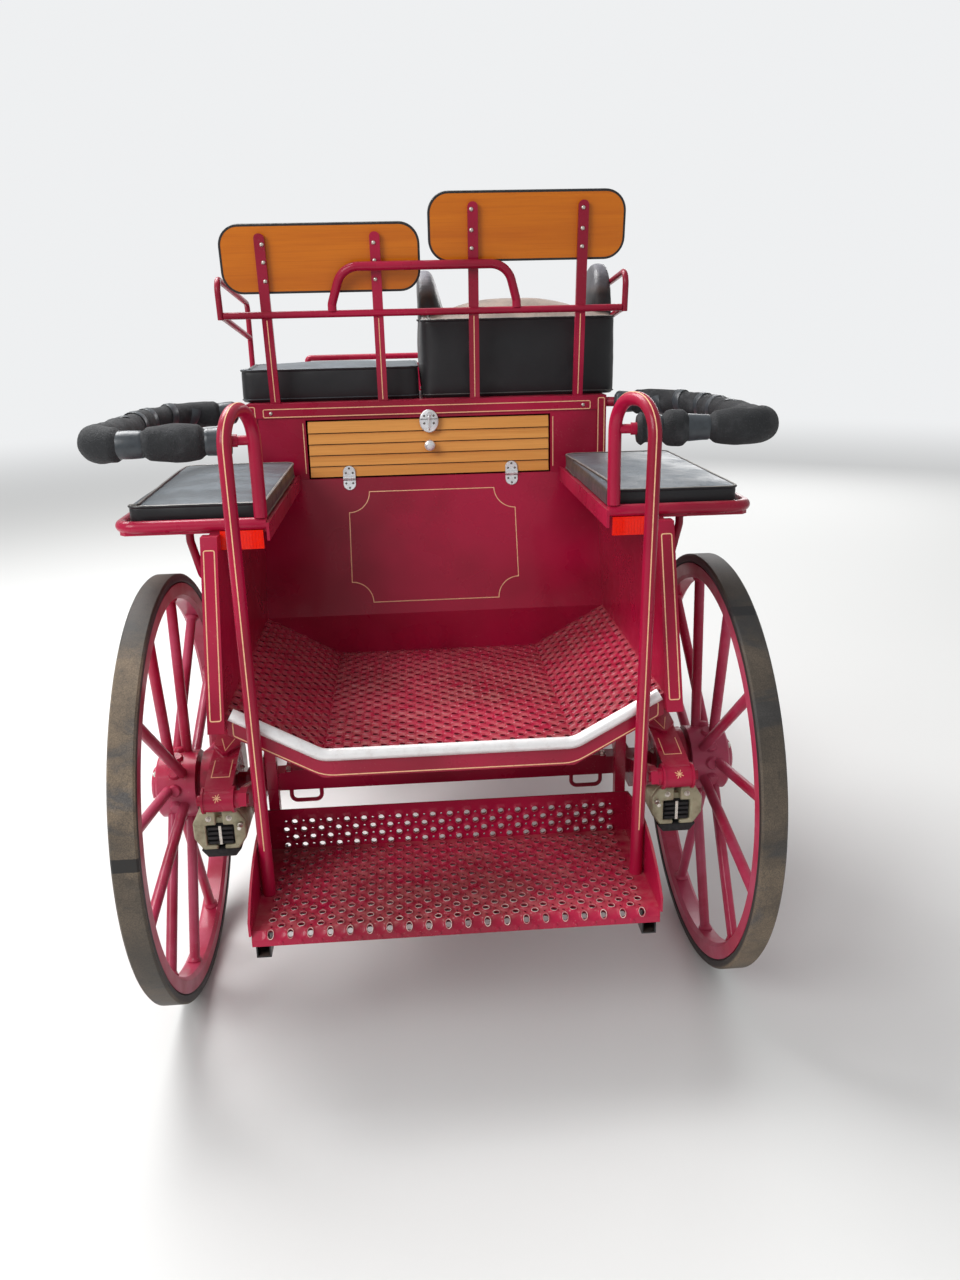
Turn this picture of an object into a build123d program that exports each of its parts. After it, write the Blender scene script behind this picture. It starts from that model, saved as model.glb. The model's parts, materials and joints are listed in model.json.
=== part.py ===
from build123d import *
import math
import os

# Marathon carriage, four wheels, with a pair of shafts resting on the ground.
# Units are millimetres. +Y is forward, +X is to the right, +Z is up, z = 0 is the ground.
# Every place below is measured from the rear axle line, and the finished pieces are moved
# together so that the origin is under the middle of the whole object.

# Wheels
REAR_WHEEL_R = 500.0
FRONT_WHEEL_R = 400.0
WHEEL_X = 633.0
TYRE_W = 54.0
TYRE_DEPTH = 34.0
RIM_LIP = 4.0
RIM_INSET = 2.0
RIM_STEP = 1.0
RIM_FLANGE_H = 13.0
RIM_DEPTH = 24.0
RIM_CHAMFER = 8.0
SPOKE_R = 12.0
SPOKE_STAGGER = 17.0
SPOKE_COUNT = 12
SPOKE_START_DEG = 18.0
NAVE_R = 78.0
NAVE_L = 92.0
NAVE_CAP_R = 46.0
NAVE_CAP_L = 16.0
SPINDLE_R = 20.0
SPINDLE_END_GAP = 12.0
RUN_GAP = 0.05

# Rear axle, brakes and springs
REAR_BEAM = 45.0
REAR_BEAM_HALF = 478.0
TIE_LOOP_X = 341.0
TIE_LOOP_HALF = 36.0
TIE_LOOP_DROP = 38.0
TIE_WIRE_R = 5.0
CLAMP_EDGE = 4.0
CLAMP_T = 8.0
DISC_X = 503.0
DISC_R = 130.0
DISC_T = 8.0
HAT_R = 76.0
HAT_END_X = 575.0
HAT_NECK_R = 50.0
CALIPER_Y = -196.0
CALIPER_Z = 490.0
CALIPER_W = 114.0
CALIPER_L = 100.0
CALIPER_H = 106.0
CALIPER_SLOT = 14.0
CALIPER_WINDOW_W = 60.0
CALIPER_WINDOW_H = 48.0
CALIPER_WINDOW_DEPTH = 14.0
CALIPER_WINDOW_DROP = 4.0
CALIPER_BRIDGE_LAP = 20.0
# columns: share of the half width, share of the half height, from the top corner down
CALIPER_OUTLINE = ((0.7, 1.0), (1.0, 0.5), (1.0, -0.2), (0.5, -1.0))
CARRIER_T = 14.0
CARRIER_LAP = 4.0
CARRIER_DOWN = 20.0
CARRIER_UP = 10.0
SPRING_X = 490.0
LEAF_W = 58.0
LEAF_T = 8.0
LEAF_TIP_L = 34.0
LEAF_HALF_SPANS = (280.0, 170.0, 100.0)
LEAF_SAG = 42.0
EYE_R = 25.0
EYE_FLANGE_R = 28.0
EYE_FLANGE_T = 5.0
EYE_BOLT_R = 11.0
EYE_BOLT_GAP = 0.3
ARM_T = 16.0
ARM_BOLT_OUT = 4.0
ARM_SPACER = 10.0
ARM_WAIST = 40.0
ARM_SKIRT = 60.0
ARM_NOSE = 24.0
ARM_SHOULDER = 16.0
ARM_BELOW = 8.0
ARM_ABOVE = 12.0
ARM_EASE = 6.0
REAR_EYE_Z = 588.0
SPRING_SEAT_H = 30.0
SPRING_SEAT_HALF_L = 55.0
SPRING_SEAT_EDGE = 6.0

# Fore-carriage
WHEELBASE = 1400.0
FRONT_BEAM = 44.0
FRONT_BEAM_HALF = 440.0
FRONT_COLLAR_R = 32.0
FRONT_COLLAR_GAP = 6.0
FRONT_SPRING_X = 400.0
FRONT_HALF_SPANS = (230.0, 150.0, 85.0)
FRONT_EYE_Z = 500.0
RING_R = 270.0
RING_BORE_R = 225.0
RING_T = 14.0
RING_GAP = 1.0
KINGPIN_R = 20.0
KINGPIN_HEAD_R = 32.0
KINGPIN_HEAD_H = 16.0
FORE_RAIL = 40.0
FORE_RAIL_X = 215.0
FORE_AHEAD = 400.0
SPLINTER_Z = 452.0
SPLINTER_HALF = 470.0
SPLINTER_SIZE = 46.0
SPLINTER_AHEAD = 20.0
LUG_T = 12.0
LUG_GAP = 6.0
LUG_H = 40.0
LUG_END = 18.0
SWINGLE_AHEAD = 100.0
SWINGLE_Z = 572.0
SWINGLE_HALF = 380.0
SWINGLE_PIN_R = 9.0
SWINGLE_R = 17.0
SWINGLE_LEDGE_GAP = 6.0
LEDGE_T = 14.0
LEDGE_HALF = 30.0
TRACE_EYE_R = 9.0
TRACE_EYE_OUTER_R = 22.0
TRACE_EYE_T = 12.0
TRACE_EYE_LAP = 8.0

# Shafts
SHAFT_X = 330.0
SHAFT_R = 19.0
SHAFT_AHEAD = 105.0
SHAFT_L = 1995.0
SHAFT_BEND = 400.0
# columns: share of the shaft's length, step out from its line as a share of that length,
# drop as a share of the pivot's height
SHAFT_ROUTE = ((0.25, 0.01, 0.13), (0.58, -0.01, 0.27), (0.87, -0.015, 0.71))
SHAFT_TIP_OUT = 0.005
SHAFT_PIN_R = 10.0
SHAFT_EYE_WALL = 3.0

# Chassis
PERCH_X = 130.0
PERCH_W = 44.0
PERCH_LOW_Z = 612.0
PERCH_HIGH_Z = 738.0
PERCH_H = 50.0
PERCH_REAR_Y = -215.0
PERCH_AHEAD = 240.0
PERCH_CROSS_W = 80.0
KICK_Y = 485.0
KICK_L = 120.0
KICK_EASE = 25.0
BEARER_T = 40.0
BEARER_FOOT_HALF = 240.0
BEARER_KNEE_HALF = 300.0
BEARER_KICK_GAP = 35.0
BEARER_BOX_INSET = 60.0
BEARER_BEHIND = 160.0
BEARER_AHEAD = 140.0
WHEEL_CLEAR_Z = 812.0
BODY_Z = 850.0

# Grooms' well
WELL_FLOOR_Z = 666.0
WELL_FLAT_HALF = 270.0
WELL_HALF = 462.0
WING_TOP_Z = 774.0
FLOOR_T = 4.0
WELL_REAR_Y = -257.0
WALL_T = 22.0
WALL_DROP = 34.0
PILLAR_LEAN_Y = 132.0
PILLAR_W = 35.0
PILLAR_D = 30.0
NOSING_R = 14.0
NOSING_END_GAP = 10.0
NOSING_RAISE = 3.0
NOSING_BEND_R = 60.0
BAND_H = 46.0
BAND_T = 8.0
OUTRIGGER_T = 50.0

# Driver's box (the locker under the bench)
BACK_FOOT_Y = 436.0
BACK_PANEL_T = 22.0
BACK_SHOULDER_Y = 572.0
BACK_SHOULDER_Z = 1128.0
BOX_FRONT_Y = 960.0
BOX_TOP_Z = 1335.0
BOX_OVERHANG = 28.0
BOX_WALL = 20.0
BOX_FLOOR_STEP = 80.0
BOX_EASE = 10.0
EDGE_POST_W = 26.0
EDGE_RAIL_H = 38.0
EDGE_PROUD = 4.0
DOOR_HALF = 330.0
DOOR_Z0 = 1134.0
DOOR_Z1 = 1284.0
DOOR_T = 22.0
DOOR_GAP = 5.0
SLAT_COUNT = 5
SLAT_SLOPE = 7.0
LATCH_R = 24.0
LATCH_STEM_R = 14.0
LATCH_STEM_DROP = 20.0
LATCH_T = 8.0
KNOB_R = 14.0
KNOB_NECK_R = 7.0
KNOB_OUT = 26.0
KNOB_DROP = 70.0
HINGE_W = 34.0
HINGE_LEAF_L = 22.0
HINGE_LEAF_T = 3.0
HINGE_STRAP_RISE = 2.0
HINGE_Y = 566.0
HINGE_Z = 1131.0
HINGE_KNUCKLE_R = 5.5
HINGE_KNUCKLE_L = 14.0
HINGE_PIN_R = 2.5
HINGE_PIN_GAP = 0.2
HINGE_XS = (-225.0, 225.0)

# Bench
BENCH_Y0 = 618.0
BENCH_Y1 = 1010.0
BENCH_OVERHANG = 22.0
BENCH_SPLIT_X = -18.0
CUSHION_GAP = 0.3
CUSHION_CORNER_R = 30.0
LEFT_CUSHION_T = 92.0
DRIVER_BLOCK_T = 214.0
EAR_W = 50.0
EAR_H = 130.0
EAR_Y0 = 680.0
EAR_Y1 = 930.0
POST_XS = (-411.0, -122.0, 128.0, 411.0)
POST_TOPS = (1757.0, 1757.0, 1822.0, 1822.0)
POST_FOOT_Y = 572.0
POST_LEAN = 9.0
POST_W = 26.0
POST_D = 14.0
POST_TOP_R = 12.0
BACKREST_W = 505.0
BACKREST_H = 165.0
BACKREST_T = 16.0
BACKREST_R = 65.0
BACKREST_CENTRES = ((-262.0, 1697.0), (268.0, 1765.0))
BACK_BAR_R = 9.0
BACK_BAR_Z = 1562.0
BACK_BAR_OVERHANG = 30.0
HANDLE_R = 11.5
HANDLE_HALF = 241.0
HANDLE_TOP_HALF = 190.0
HANDLE_RISE = 118.0
HANDLE_BEND_R = 45.0
HANDLE_PLATE_H = 15.0
ARM_R = 8.0
ARM_REAR_RISE = 93.0
ARM_FRONT_TOP_Z = 1600.0
ARM_FRONT_Y = 1026.0
ARM_LOWER_FRONT_Z = 1500.0
ARM_BEND_R = 30.0
ARM_FOOT_Z = 1290.0
ARM_KINK_L = 60.0
ARM_KINK_DROP = 6.0

# Side seats
SEAT_INSET = 104.0
SEAT_W = 314.0
SEAT_REAR_Y = -112.0
SEAT_FRONT_Y = 548.0
SEAT_Z = 1142.0
SEAT_TUBE_R = 13.0
SEAT_BAR_T = 6.0
SEAT_BAR_H = 38.0
SEAT_BAR_RISE = 3.0
SEAT_BOARD_T = 18.0
SEAT_CORNER_R = 38.0
SEAT_END_GAP = 10.0
SIDE_CUSHION_T = 45.0
SIDE_CUSHION_R = 26.0
BUFFER_OUT = 86.0
BUFFER_Y = -10.0
BUFFER_R = 25.0
BUFFER_H = 16.0
BRACE_R = 9.0
BRACE_FOOT_Z = 1004.0
BRACE_KNEE_IN = 20.0
BRACE_STRAIGHT = 20.0
BRACE_BEND_R = 16.0

# Grab hoops and hip rails
HOOP_R = 14.0
HOOP_FOOT_X = 400.0
HOOP_TOP_X = 428.0
HOOP_LEAN_Y = 45.0
HOOP_LEG_X = 375.0
HOOP_TOP_Z = 1396.0
HOOP_BEND_R = 58.0
HOOP_NOSING_GAP = 1.5
HOOP_STUB_R = 10.0
HOOP_STUB_END_X = 408.0
HIP_Z = 1315.0
HIP_TUBE_R = 13.0
HIP_PAD_R = 34.0
HIP_PAD_GAP = 0.3
HIP_OUT = 228.0
HIP_CORNER_Y = -148.0
HIP_SIDE_END_Y = 340.0
HIP_KNEE_OUT = 150.0
HIP_KNEE_Y = 530.0
HIP_END_Y = 588.0
HIP_BENDS = (85.0, 160.0, 90.0)
HIP_PAD_START_X = 420.0
HIP_PAD_END_OUT = 26.0

# Rear step
STEP_Z = 370.0
STEP_REAR_Y = -455.0
STEP_FRONT_Y = -110.0
STEP_HALF = 418.0
STEP_T = 4.0
STEP_LIP = 28.0
STEP_RISER_H = 100.0
STEP_SIDE_T = 5.0
STEP_SIDE_CORNER_H = 28.0
STEP_SIDE_CREST_H = 120.0
STEP_SIDE_MIDDLE_H = 92.0
STEP_HANGER_W = 24.0
STEP_HANGER_D = 24.0
STEP_HANGER_X = 404.0
STUB_X = 399.0
STUB_W = 30.0
STUB_H = 60.0
STUB_WALL = 3.0
STUB_SETBACK = 15.0
STUB_HOLLOW_L = 200.0

# Foot well
FOOT_HALF = 450.0
FOOT_PLATE_T = 18.0
TOE_AHEAD = 200.0
DASH_AHEAD = 400.0
DASH_FOOT_Z = 1010.0
DASH_TOP_Z = 1385.0
DASH_LEAN = 25.0
DASH_T = 16.0
DASH_RAIL_R = 11.0
DASH_RAIL_H = 26.0
DASH_RAIL_INSET = 20.0
DASH_RAIL_BEND_R = 12.0
PEDAL_X = 260.0
PEDAL_ARM_W = 20.0
PEDAL_BEHIND_TOE = 110.0
PEDAL_FOOT_L = 50.0
PEDAL_PAD_W = 80.0
PEDAL_PAD_H = 70.0
PEDAL_PAD_T = 14.0
PEDAL_PAD_Z = 1000.0

# Reflector blocks under the rear tube of the side seats
REFLECTOR_W = 90.0
REFLECTOR_H = 40.0
REFLECTOR_T = 8.0

SIDES = (("left", -1), ("right", 1))
FORE_FRONT_Y = WHEELBASE + FORE_AHEAD
SPLINTER_Y = FORE_FRONT_Y + SPLINTER_AHEAD
SWINGLE_Y = FORE_FRONT_Y + SWINGLE_AHEAD
SHAFT_PIVOT_Y = FORE_FRONT_Y + SHAFT_AHEAD
SHAFT_TIP_Y = SHAFT_PIVOT_Y + SHAFT_L
PERCH_FRONT_Y = WHEELBASE + PERCH_AHEAD
TOE_Y = WHEELBASE + TOE_AHEAD
DASH_Y = WHEELBASE + DASH_AHEAD
BEARER_YS = (KICK_Y + KICK_L + BEARER_KICK_GAP, BOX_FRONT_Y - BEARER_BOX_INSET, WHEELBASE - BEARER_BEHIND,
             WHEELBASE + BEARER_AHEAD)
BOX_HALF = WELL_HALF + BOX_OVERHANG
BENCH_HALF = BOX_HALF + BENCH_OVERHANG
BACK_BAR_HALF = BOX_HALF + BACK_BAR_OVERHANG
HANDLE_TOP_Z = BACK_BAR_Z + HANDLE_RISE
ARM_REAR_TOP_Z = BACK_BAR_Z + ARM_REAR_RISE
SEAT_INNER_X = WELL_HALF - SEAT_INSET
SEAT_OUTER_X = SEAT_INNER_X + SEAT_W
BUFFER_X = WELL_HALF + BUFFER_OUT
REFLECTOR_X = WELL_HALF - REFLECTOR_W
HIP_OUTER_X = BOX_HALF + HIP_OUT
HIP_KNEE_X = BOX_HALF + HIP_KNEE_OUT
HIP_PAD_END_X = BOX_HALF + HIP_PAD_END_OUT
WALL_TOP_Z = SEAT_Z - SEAT_BOARD_T
BACK_SLOPE = (BACK_SHOULDER_Y - BACK_FOOT_Y) / (BACK_SHOULDER_Z - WING_TOP_Z)
OBJECT_Y = -(SHAFT_TIP_Y - REAR_WHEEL_R) / 2

pieces = {}


def keep(name, shape):
    pieces[name] = Pos(0, OBJECT_Y, 0) * shape


def prism_x(points, x0, x1):
    """Outline of (y, z) points, made solid from x0 to x1."""
    outline = Plane.YZ * make_face(Polyline(*points, close=True))
    return Pos(x0, 0, 0) * extrude(outline, amount=x1 - x0, dir=(1, 0, 0))


def prism_y(points, y0, y1):
    """Outline of (x, z) points, made solid from y0 to y1."""
    outline = make_face(Polyline(*[(x, 0, z) for x, z in points], close=True))
    return Pos(0, y0, 0) * extrude(outline, amount=y1 - y0, dir=(0, 1, 0))


def block(x0, x1, y0, y1, z0, z1):
    """Plain box between two corners."""
    middle = ((x0 + x1) / 2, (y0 + y1) / 2, (z0 + z1) / 2)
    return Pos(*middle) * Box(abs(x1 - x0), abs(y1 - y0), abs(z1 - z0))


def rod(start, end, radius):
    """Round bar from one point to another."""
    direction = Vector(*end) - Vector(*start)
    place = Plane(origin=start, z_dir=direction)
    return place * Cylinder(radius, direction.length, align=(Align.CENTER, Align.CENTER, Align.MIN))


def bent_tube(points, bends, radius):
    """Round bar along straight runs joined by arcs."""
    path = FilletPolyline(*points, radius=bends)
    return sweep(Plane(origin=path @ 0, z_dir=path % 0) * Circle(radius), path)


def turned(profile):
    """Profile of (x, r) points turned about the X axis."""
    face = make_face(Polyline(*[(x, r, 0) for x, r in profile], close=True))
    return revolve(face, Axis.X)


def both_sides(shape):
    """The piece for the right together with its mirror image."""
    return Compound([mirror(shape, Plane.YZ), shape])


def mirrored(shape, side):
    """The piece for the right, or its mirror image for the left."""
    return shape if side > 0 else mirror(shape, Plane.YZ)


# Wheels
def tyre(radius):
    """Solid tyre that stands in the rim's channel, with a flat tread."""
    half = TYRE_W / 2
    base = radius - TYRE_DEPTH
    channel = half - RIM_LIP - RIM_INSET
    lip = base + RIM_FLANGE_H
    ease = RIM_CHAMFER / 2
    return turned([(-channel, base), (-channel, lip), (-half, lip + RIM_LIP), (-half, radius - ease),
                   (-half + ease, radius), (half - ease, radius), (half, radius - ease),
                   (half, lip + RIM_LIP), (channel, lip), (channel, base)])


def rim(radius):
    """Channel rim that holds the tyre between two low flanges."""
    base = radius - TYRE_DEPTH
    channel = TYRE_W / 2 - RIM_LIP - RIM_INSET
    lip = channel + RIM_LIP
    flange = base + RIM_FLANGE_H - RIM_STEP
    inner = base - RIM_DEPTH
    return turned([(-channel, base), (-channel, flange), (-lip, flange), (-lip, inner + RIM_CHAMFER),
                   (-lip + RIM_CHAMFER, inner), (lip - RIM_CHAMFER, inner), (lip, inner + RIM_CHAMFER),
                   (lip, flange), (channel, flange), (channel, base)])


def nave():
    """Turned nave with its bearing cap on the outside."""
    half = NAVE_L / 2
    bore = SPINDLE_R + RUN_GAP
    edge = NAVE_CAP_L / 3
    cap_x = half + NAVE_CAP_L
    return turned([(-half, bore), (-half, NAVE_R), (half - edge, NAVE_R), (half, NAVE_R - edge),
                   (half, NAVE_CAP_R), (cap_x - edge, NAVE_CAP_R), (cap_x, NAVE_CAP_R - edge), (cap_x, 0),
                   (half, 0), (half, bore)])


def wheel(radius):
    """Rim, staggered round spokes and nave of a right-hand wheel, around its own centre."""
    shape = rim(radius) + nave()
    spoke_start = NAVE_R - SPOKE_R
    spoke_end = radius - TYRE_DEPTH - RIM_DEPTH / 2
    for index in range(SPOKE_COUNT):
        angle = math.radians(SPOKE_START_DEG + 360 * index / SPOKE_COUNT)
        offset = SPOKE_STAGGER * (1 if index % 2 else -1)
        start = (offset, spoke_start * math.cos(angle), spoke_start * math.sin(angle))
        end = (0, spoke_end * math.cos(angle), spoke_end * math.sin(angle))
        shape += rod(start, end, SPOKE_R)
    return shape


def brake_disc():
    """Disc with its hat, between the beam's end and the nave."""
    bore = SPINDLE_R + RUN_GAP
    disc_0 = DISC_X - DISC_T / 2
    disc_1 = DISC_X + DISC_T / 2
    nave_x = WHEEL_X - NAVE_L / 2
    return turned([(disc_0, bore), (disc_0, DISC_R), (disc_1, DISC_R), (disc_1, HAT_R),
                   (HAT_END_X, HAT_R), (HAT_END_X, HAT_NECK_R), (nave_x, HAT_NECK_R), (nave_x, bore)])


def spindles(beam_half):
    """The two round ends of an axle."""
    end_x = WHEEL_X + NAVE_L / 2 - SPINDLE_END_GAP
    return [rod((side * (beam_half - 10), 0, 0), (side * end_x, 0, 0), SPINDLE_R) for _, side in SIDES]


for end_name, radius, axle_y in (("rear", REAR_WHEEL_R, 0), ("front", FRONT_WHEEL_R, WHEELBASE)):
    right_wheel = wheel(radius)
    right_tyre = tyre(radius)
    for side_name, side in SIDES:
        centre = Pos(side * WHEEL_X, axle_y, radius)
        keep(f"{end_name}_wheel_{side_name}", centre * mirrored(right_wheel, side))
        keep(f"{end_name}_tyre_{side_name}", centre * mirrored(right_tyre, side))
for side_name, side in SIDES:
    keep(f"brake_disc_{side_name}", Pos(0, 0, REAR_WHEEL_R) * mirrored(brake_disc(), side))


# Axles
def rear_axle():
    """Square beam with its spindles, tie loops below and clamp plates on top."""
    half = REAR_BEAM / 2
    shape = Box(2 * REAR_BEAM_HALF, REAR_BEAM, REAR_BEAM)
    for end in spindles(REAR_BEAM_HALF):
        shape += end
    low = -half - TIE_LOOP_DROP
    root = -half + TIE_WIRE_R / 2
    clamp_half = half + CLAMP_EDGE
    for _, side in SIDES:
        loop_0 = side * TIE_LOOP_X - TIE_LOOP_HALF
        loop_1 = side * TIE_LOOP_X + TIE_LOOP_HALF
        loop = [(loop_0, 0, root), (loop_0, 0, low), (loop_1, 0, low), (loop_1, 0, root)]
        shape += bent_tube(loop, 3 * TIE_WIRE_R, TIE_WIRE_R)
        shape += block(loop_0 - CLAMP_T, loop_1 + CLAMP_T, -clamp_half, clamp_half, half, half + CLAMP_T)
    return Pos(0, 0, REAR_WHEEL_R) * shape


def front_axle():
    """Square beam with its spindles and the collars behind the wheels."""
    shape = Box(2 * FRONT_BEAM_HALF, FRONT_BEAM, FRONT_BEAM)
    for end in spindles(FRONT_BEAM_HALF):
        shape += end
    collar_x = WHEEL_X - NAVE_L / 2 - FRONT_COLLAR_GAP
    for _, side in SIDES:
        shape += rod((side * FRONT_BEAM_HALF, 0, 0), (side * collar_x, 0, 0), FRONT_COLLAR_R)
    return Pos(0, WHEELBASE, FRONT_WHEEL_R) * shape


def leaf_spring(half_spans, eye_z):
    """Arched leaf pack centred on x = 0, with rolled eyes, pointed upper leaves and a seat on top."""
    span = half_spans[0]
    half_w = LEAF_W / 2
    arc_r = (span * span + LEAF_SAG * LEAF_SAG) / (2 * LEAF_SAG)
    crown_z = eye_z + EYE_R + LEAF_SAG
    centre_z = crown_z - arc_r
    shape = None
    for index, half in enumerate(half_spans):
        inner = arc_r + LEAF_T * (index - 1)
        outer = inner + LEAF_T
        reach = math.degrees(math.asin(half / arc_r))
        arcs = [CenterArc((0, 0), r, 90 - reach, 2 * reach) for r in (inner, outer)]
        ends = [Line(arcs[0] @ at, arcs[1] @ at) for at in (0, 1)]
        leaf = Plane.YZ * make_face(arcs + ends)
        leaf = Pos(-half_w, 0, centre_z) * extrude(leaf, amount=LEAF_W, dir=(1, 0, 0))
        if index:
            neck = half - LEAF_TIP_L
            tip = make_face(Polyline((-half_w, -neck), (0, -half - LEAF_T), (half_w, -neck), (half_w, neck),
                                     (0, half + LEAF_T), (-half_w, neck), close=True))
            leaf &= Pos(0, 0, eye_z) * extrude(tip, amount=4 * LEAF_SAG)
        shape = leaf if shape is None else shape + leaf
    for end in (-1, 1):
        eye = Cylinder(EYE_R, LEAF_W)
        for flange_side in (-1, 1):
            flange = Cylinder(EYE_FLANGE_R, EYE_FLANGE_T)
            eye += Pos(0, 0, flange_side * (half_w + EYE_FLANGE_T / 2)) * flange
        eye -= Cylinder(EYE_BOLT_R + EYE_BOLT_GAP, LEAF_W + 2 * EYE_FLANGE_T)
        shape += Pos(0, end * span, eye_z) * Rot(0, 90, 0) * eye
    seat_half_w = half_w + SPRING_SEAT_EDGE
    pack_top = crown_z + LEAF_T * (len(half_spans) - 1)
    return shape + block(-seat_half_w, seat_half_w, -SPRING_SEAT_HALF_L, SPRING_SEAT_HALF_L,
                         pack_top - LEAF_T, pack_top + SPRING_SEAT_H)


def spring_top(half_spans, eye_z):
    """Height of the spring's seat face."""
    return eye_z + EYE_R + LEAF_SAG + LEAF_T * (len(half_spans) - 1) + SPRING_SEAT_H


def spring_arm(half_span, eye_z, axle_z, beam, spring_x):
    """Shaped plate from the beam out to both eyes, with the eye bolts."""
    outer_x = spring_x - LEAF_W / 2 - EYE_FLANGE_T - ARM_SPACER
    bolt_end_x = spring_x + LEAF_W / 2 + EYE_FLANGE_T + EYE_BOLT_R
    top = eye_z + EYE_R
    half = beam / 2
    low = axle_z - half - ARM_BELOW
    waist = axle_z + half + ARM_ABOVE
    shoulder = top - ARM_EASE
    right = [(half + ARM_WAIST, waist), (half_span - ARM_SHOULDER, shoulder),
             (half_span + ARM_NOSE / 2, shoulder), (half_span + ARM_NOSE, eye_z - ARM_EASE),
             (half + ARM_SKIRT, low)]
    outline = [(-y, z) for y, z in reversed(right)] + right
    plate = prism_x(outline, outer_x - ARM_T, outer_x)
    plate -= block(outer_x - ARM_T, outer_x, -half, half, axle_z - half, axle_z + half)
    for end in (-1, 1):
        y = end * half_span
        plate += rod((outer_x, y, eye_z), (outer_x + ARM_SPACER, y, eye_z), EYE_R - ARM_EASE)
        plate += rod((outer_x - ARM_T - ARM_BOLT_OUT, y, eye_z), (bolt_end_x, y, eye_z), EYE_BOLT_R)
    return plate


keep("rear_axle", rear_axle())
keep("front_axle", front_axle())
keep("rear_springs", both_sides(Pos(SPRING_X, 0, 0) * leaf_spring(LEAF_HALF_SPANS, REAR_EYE_Z)))
keep("rear_spring_arms",
     both_sides(spring_arm(LEAF_HALF_SPANS[0], REAR_EYE_Z, REAR_WHEEL_R, REAR_BEAM, SPRING_X)))
keep("front_springs",
     both_sides(Pos(FRONT_SPRING_X, WHEELBASE, 0) * leaf_spring(FRONT_HALF_SPANS, FRONT_EYE_Z)))
keep("front_spring_arms",
     both_sides(Pos(0, WHEELBASE, 0) * spring_arm(FRONT_HALF_SPANS[0], FRONT_EYE_Z, FRONT_WHEEL_R,
                                                  FRONT_BEAM, FRONT_SPRING_X)))


def caliper():
    """Two-piece caliper that straddles the disc behind the axle, with its window and carrier."""
    half_w = CALIPER_W / 2
    half_h = CALIPER_H / 2
    half_l = CALIPER_L / 2
    right = [(across * half_w, up * half_h) for across, up in CALIPER_OUTLINE]
    body = prism_y(right + [(-x, z) for x, z in reversed(right)], -half_l, half_l)
    body -= Box(CALIPER_SLOT, CALIPER_L, CALIPER_H)
    bridge_l = 2 * CALIPER_WINDOW_DEPTH
    bridge = Box(CALIPER_SLOT + CALIPER_BRIDGE_LAP, bridge_l, CALIPER_H - 2 * CALIPER_BRIDGE_LAP)
    body += Pos(0, (bridge_l - CALIPER_L) / 2, 0) * bridge
    window = Box(CALIPER_WINDOW_W, CALIPER_WINDOW_DEPTH, CALIPER_WINDOW_H)
    body -= Pos(0, (CALIPER_WINDOW_DEPTH - CALIPER_L) / 2, -CALIPER_WINDOW_DROP) * window
    carrier_x = DISC_X - half_w
    carrier = block(carrier_x, carrier_x + CARRIER_T, CALIPER_Y + half_l - CARRIER_LAP, -REAR_BEAM / 2,
                    REAR_WHEEL_R - CARRIER_DOWN, REAR_WHEEL_R + CARRIER_UP)
    return Pos(DISC_X, CALIPER_Y, CALIPER_Z) * body + carrier


keep("brake_calipers", both_sides(caliper()))


# Chassis
def perch():
    """Two box beams under the well that kick up over the fore-carriage, with their cross pieces."""
    low = PERCH_LOW_Z
    high = PERCH_HIGH_Z
    kick_end = KICK_Y + KICK_L
    side_view = [(PERCH_REAR_Y, low), (KICK_Y + KICK_EASE, low), (kick_end + KICK_EASE, high),
                 (PERCH_FRONT_Y, high), (PERCH_FRONT_Y, high + PERCH_H), (kick_end, high + PERCH_H),
                 (KICK_Y, low + PERCH_H), (PERCH_REAR_Y, low + PERCH_H)]
    shape = None
    for side in (-1, 1):
        beam = prism_x(side_view, side * PERCH_X - PERCH_W / 2, side * PERCH_X + PERCH_W / 2)
        shape = beam if shape is None else shape + beam
    inner = PERCH_X - PERCH_W / 2
    half = PERCH_CROSS_W / 2
    for cross_y, cross_z in ((PERCH_REAR_Y + half, low), (WHEELBASE, high), (PERCH_FRONT_Y - half, high)):
        shape += block(-inner, inner, cross_y - half, cross_y + half, cross_z, cross_z + PERCH_H)
    shape -= rod((0, WHEELBASE, 0), (0, WHEELBASE, BODY_Z), KINGPIN_R + RUN_GAP)
    return shape


def outrigger():
    """Box-section rib that follows the well's underside out to the springs."""
    seat_z = spring_top(LEAF_HALF_SPANS, REAR_EYE_Z)
    under = WELL_FLOOR_Z - FLOOR_T
    rise = WING_TOP_Z - FLOOR_T
    wall_foot = WING_TOP_Z - WALL_DROP
    seat_outer = SPRING_X + LEAF_W / 2 + SPRING_SEAT_EDGE
    seat_inner = SPRING_X - LEAF_W / 2 - SPRING_SEAT_EDGE
    beam_x = PERCH_X + PERCH_W / 2
    right = [(WELL_FLAT_HALF, under), (WELL_HALF, rise), (WELL_HALF, wall_foot), (seat_outer, wall_foot),
             (seat_outer, seat_z), (seat_inner, seat_z), (beam_x, PERCH_LOW_Z), (beam_x, under)]
    half = OUTRIGGER_T / 2
    return [prism_y([(side * x, z) for x, z in right], -half, half) for side in (-1, 1)]


def bearers():
    """Cross pieces on the beams that carry the box and the foot well."""
    low = PERCH_HIGH_Z + PERCH_H
    right = [(BEARER_FOOT_HALF, low), (BEARER_KNEE_HALF, WHEEL_CLEAR_Z), (FOOT_HALF, WHEEL_CLEAR_Z),
             (FOOT_HALF, BODY_Z)]
    outline = right + [(-x, z) for x, z in reversed(right)]
    return Compound([prism_y(outline, y - BEARER_T / 2, y + BEARER_T / 2) for y in BEARER_YS])


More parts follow.
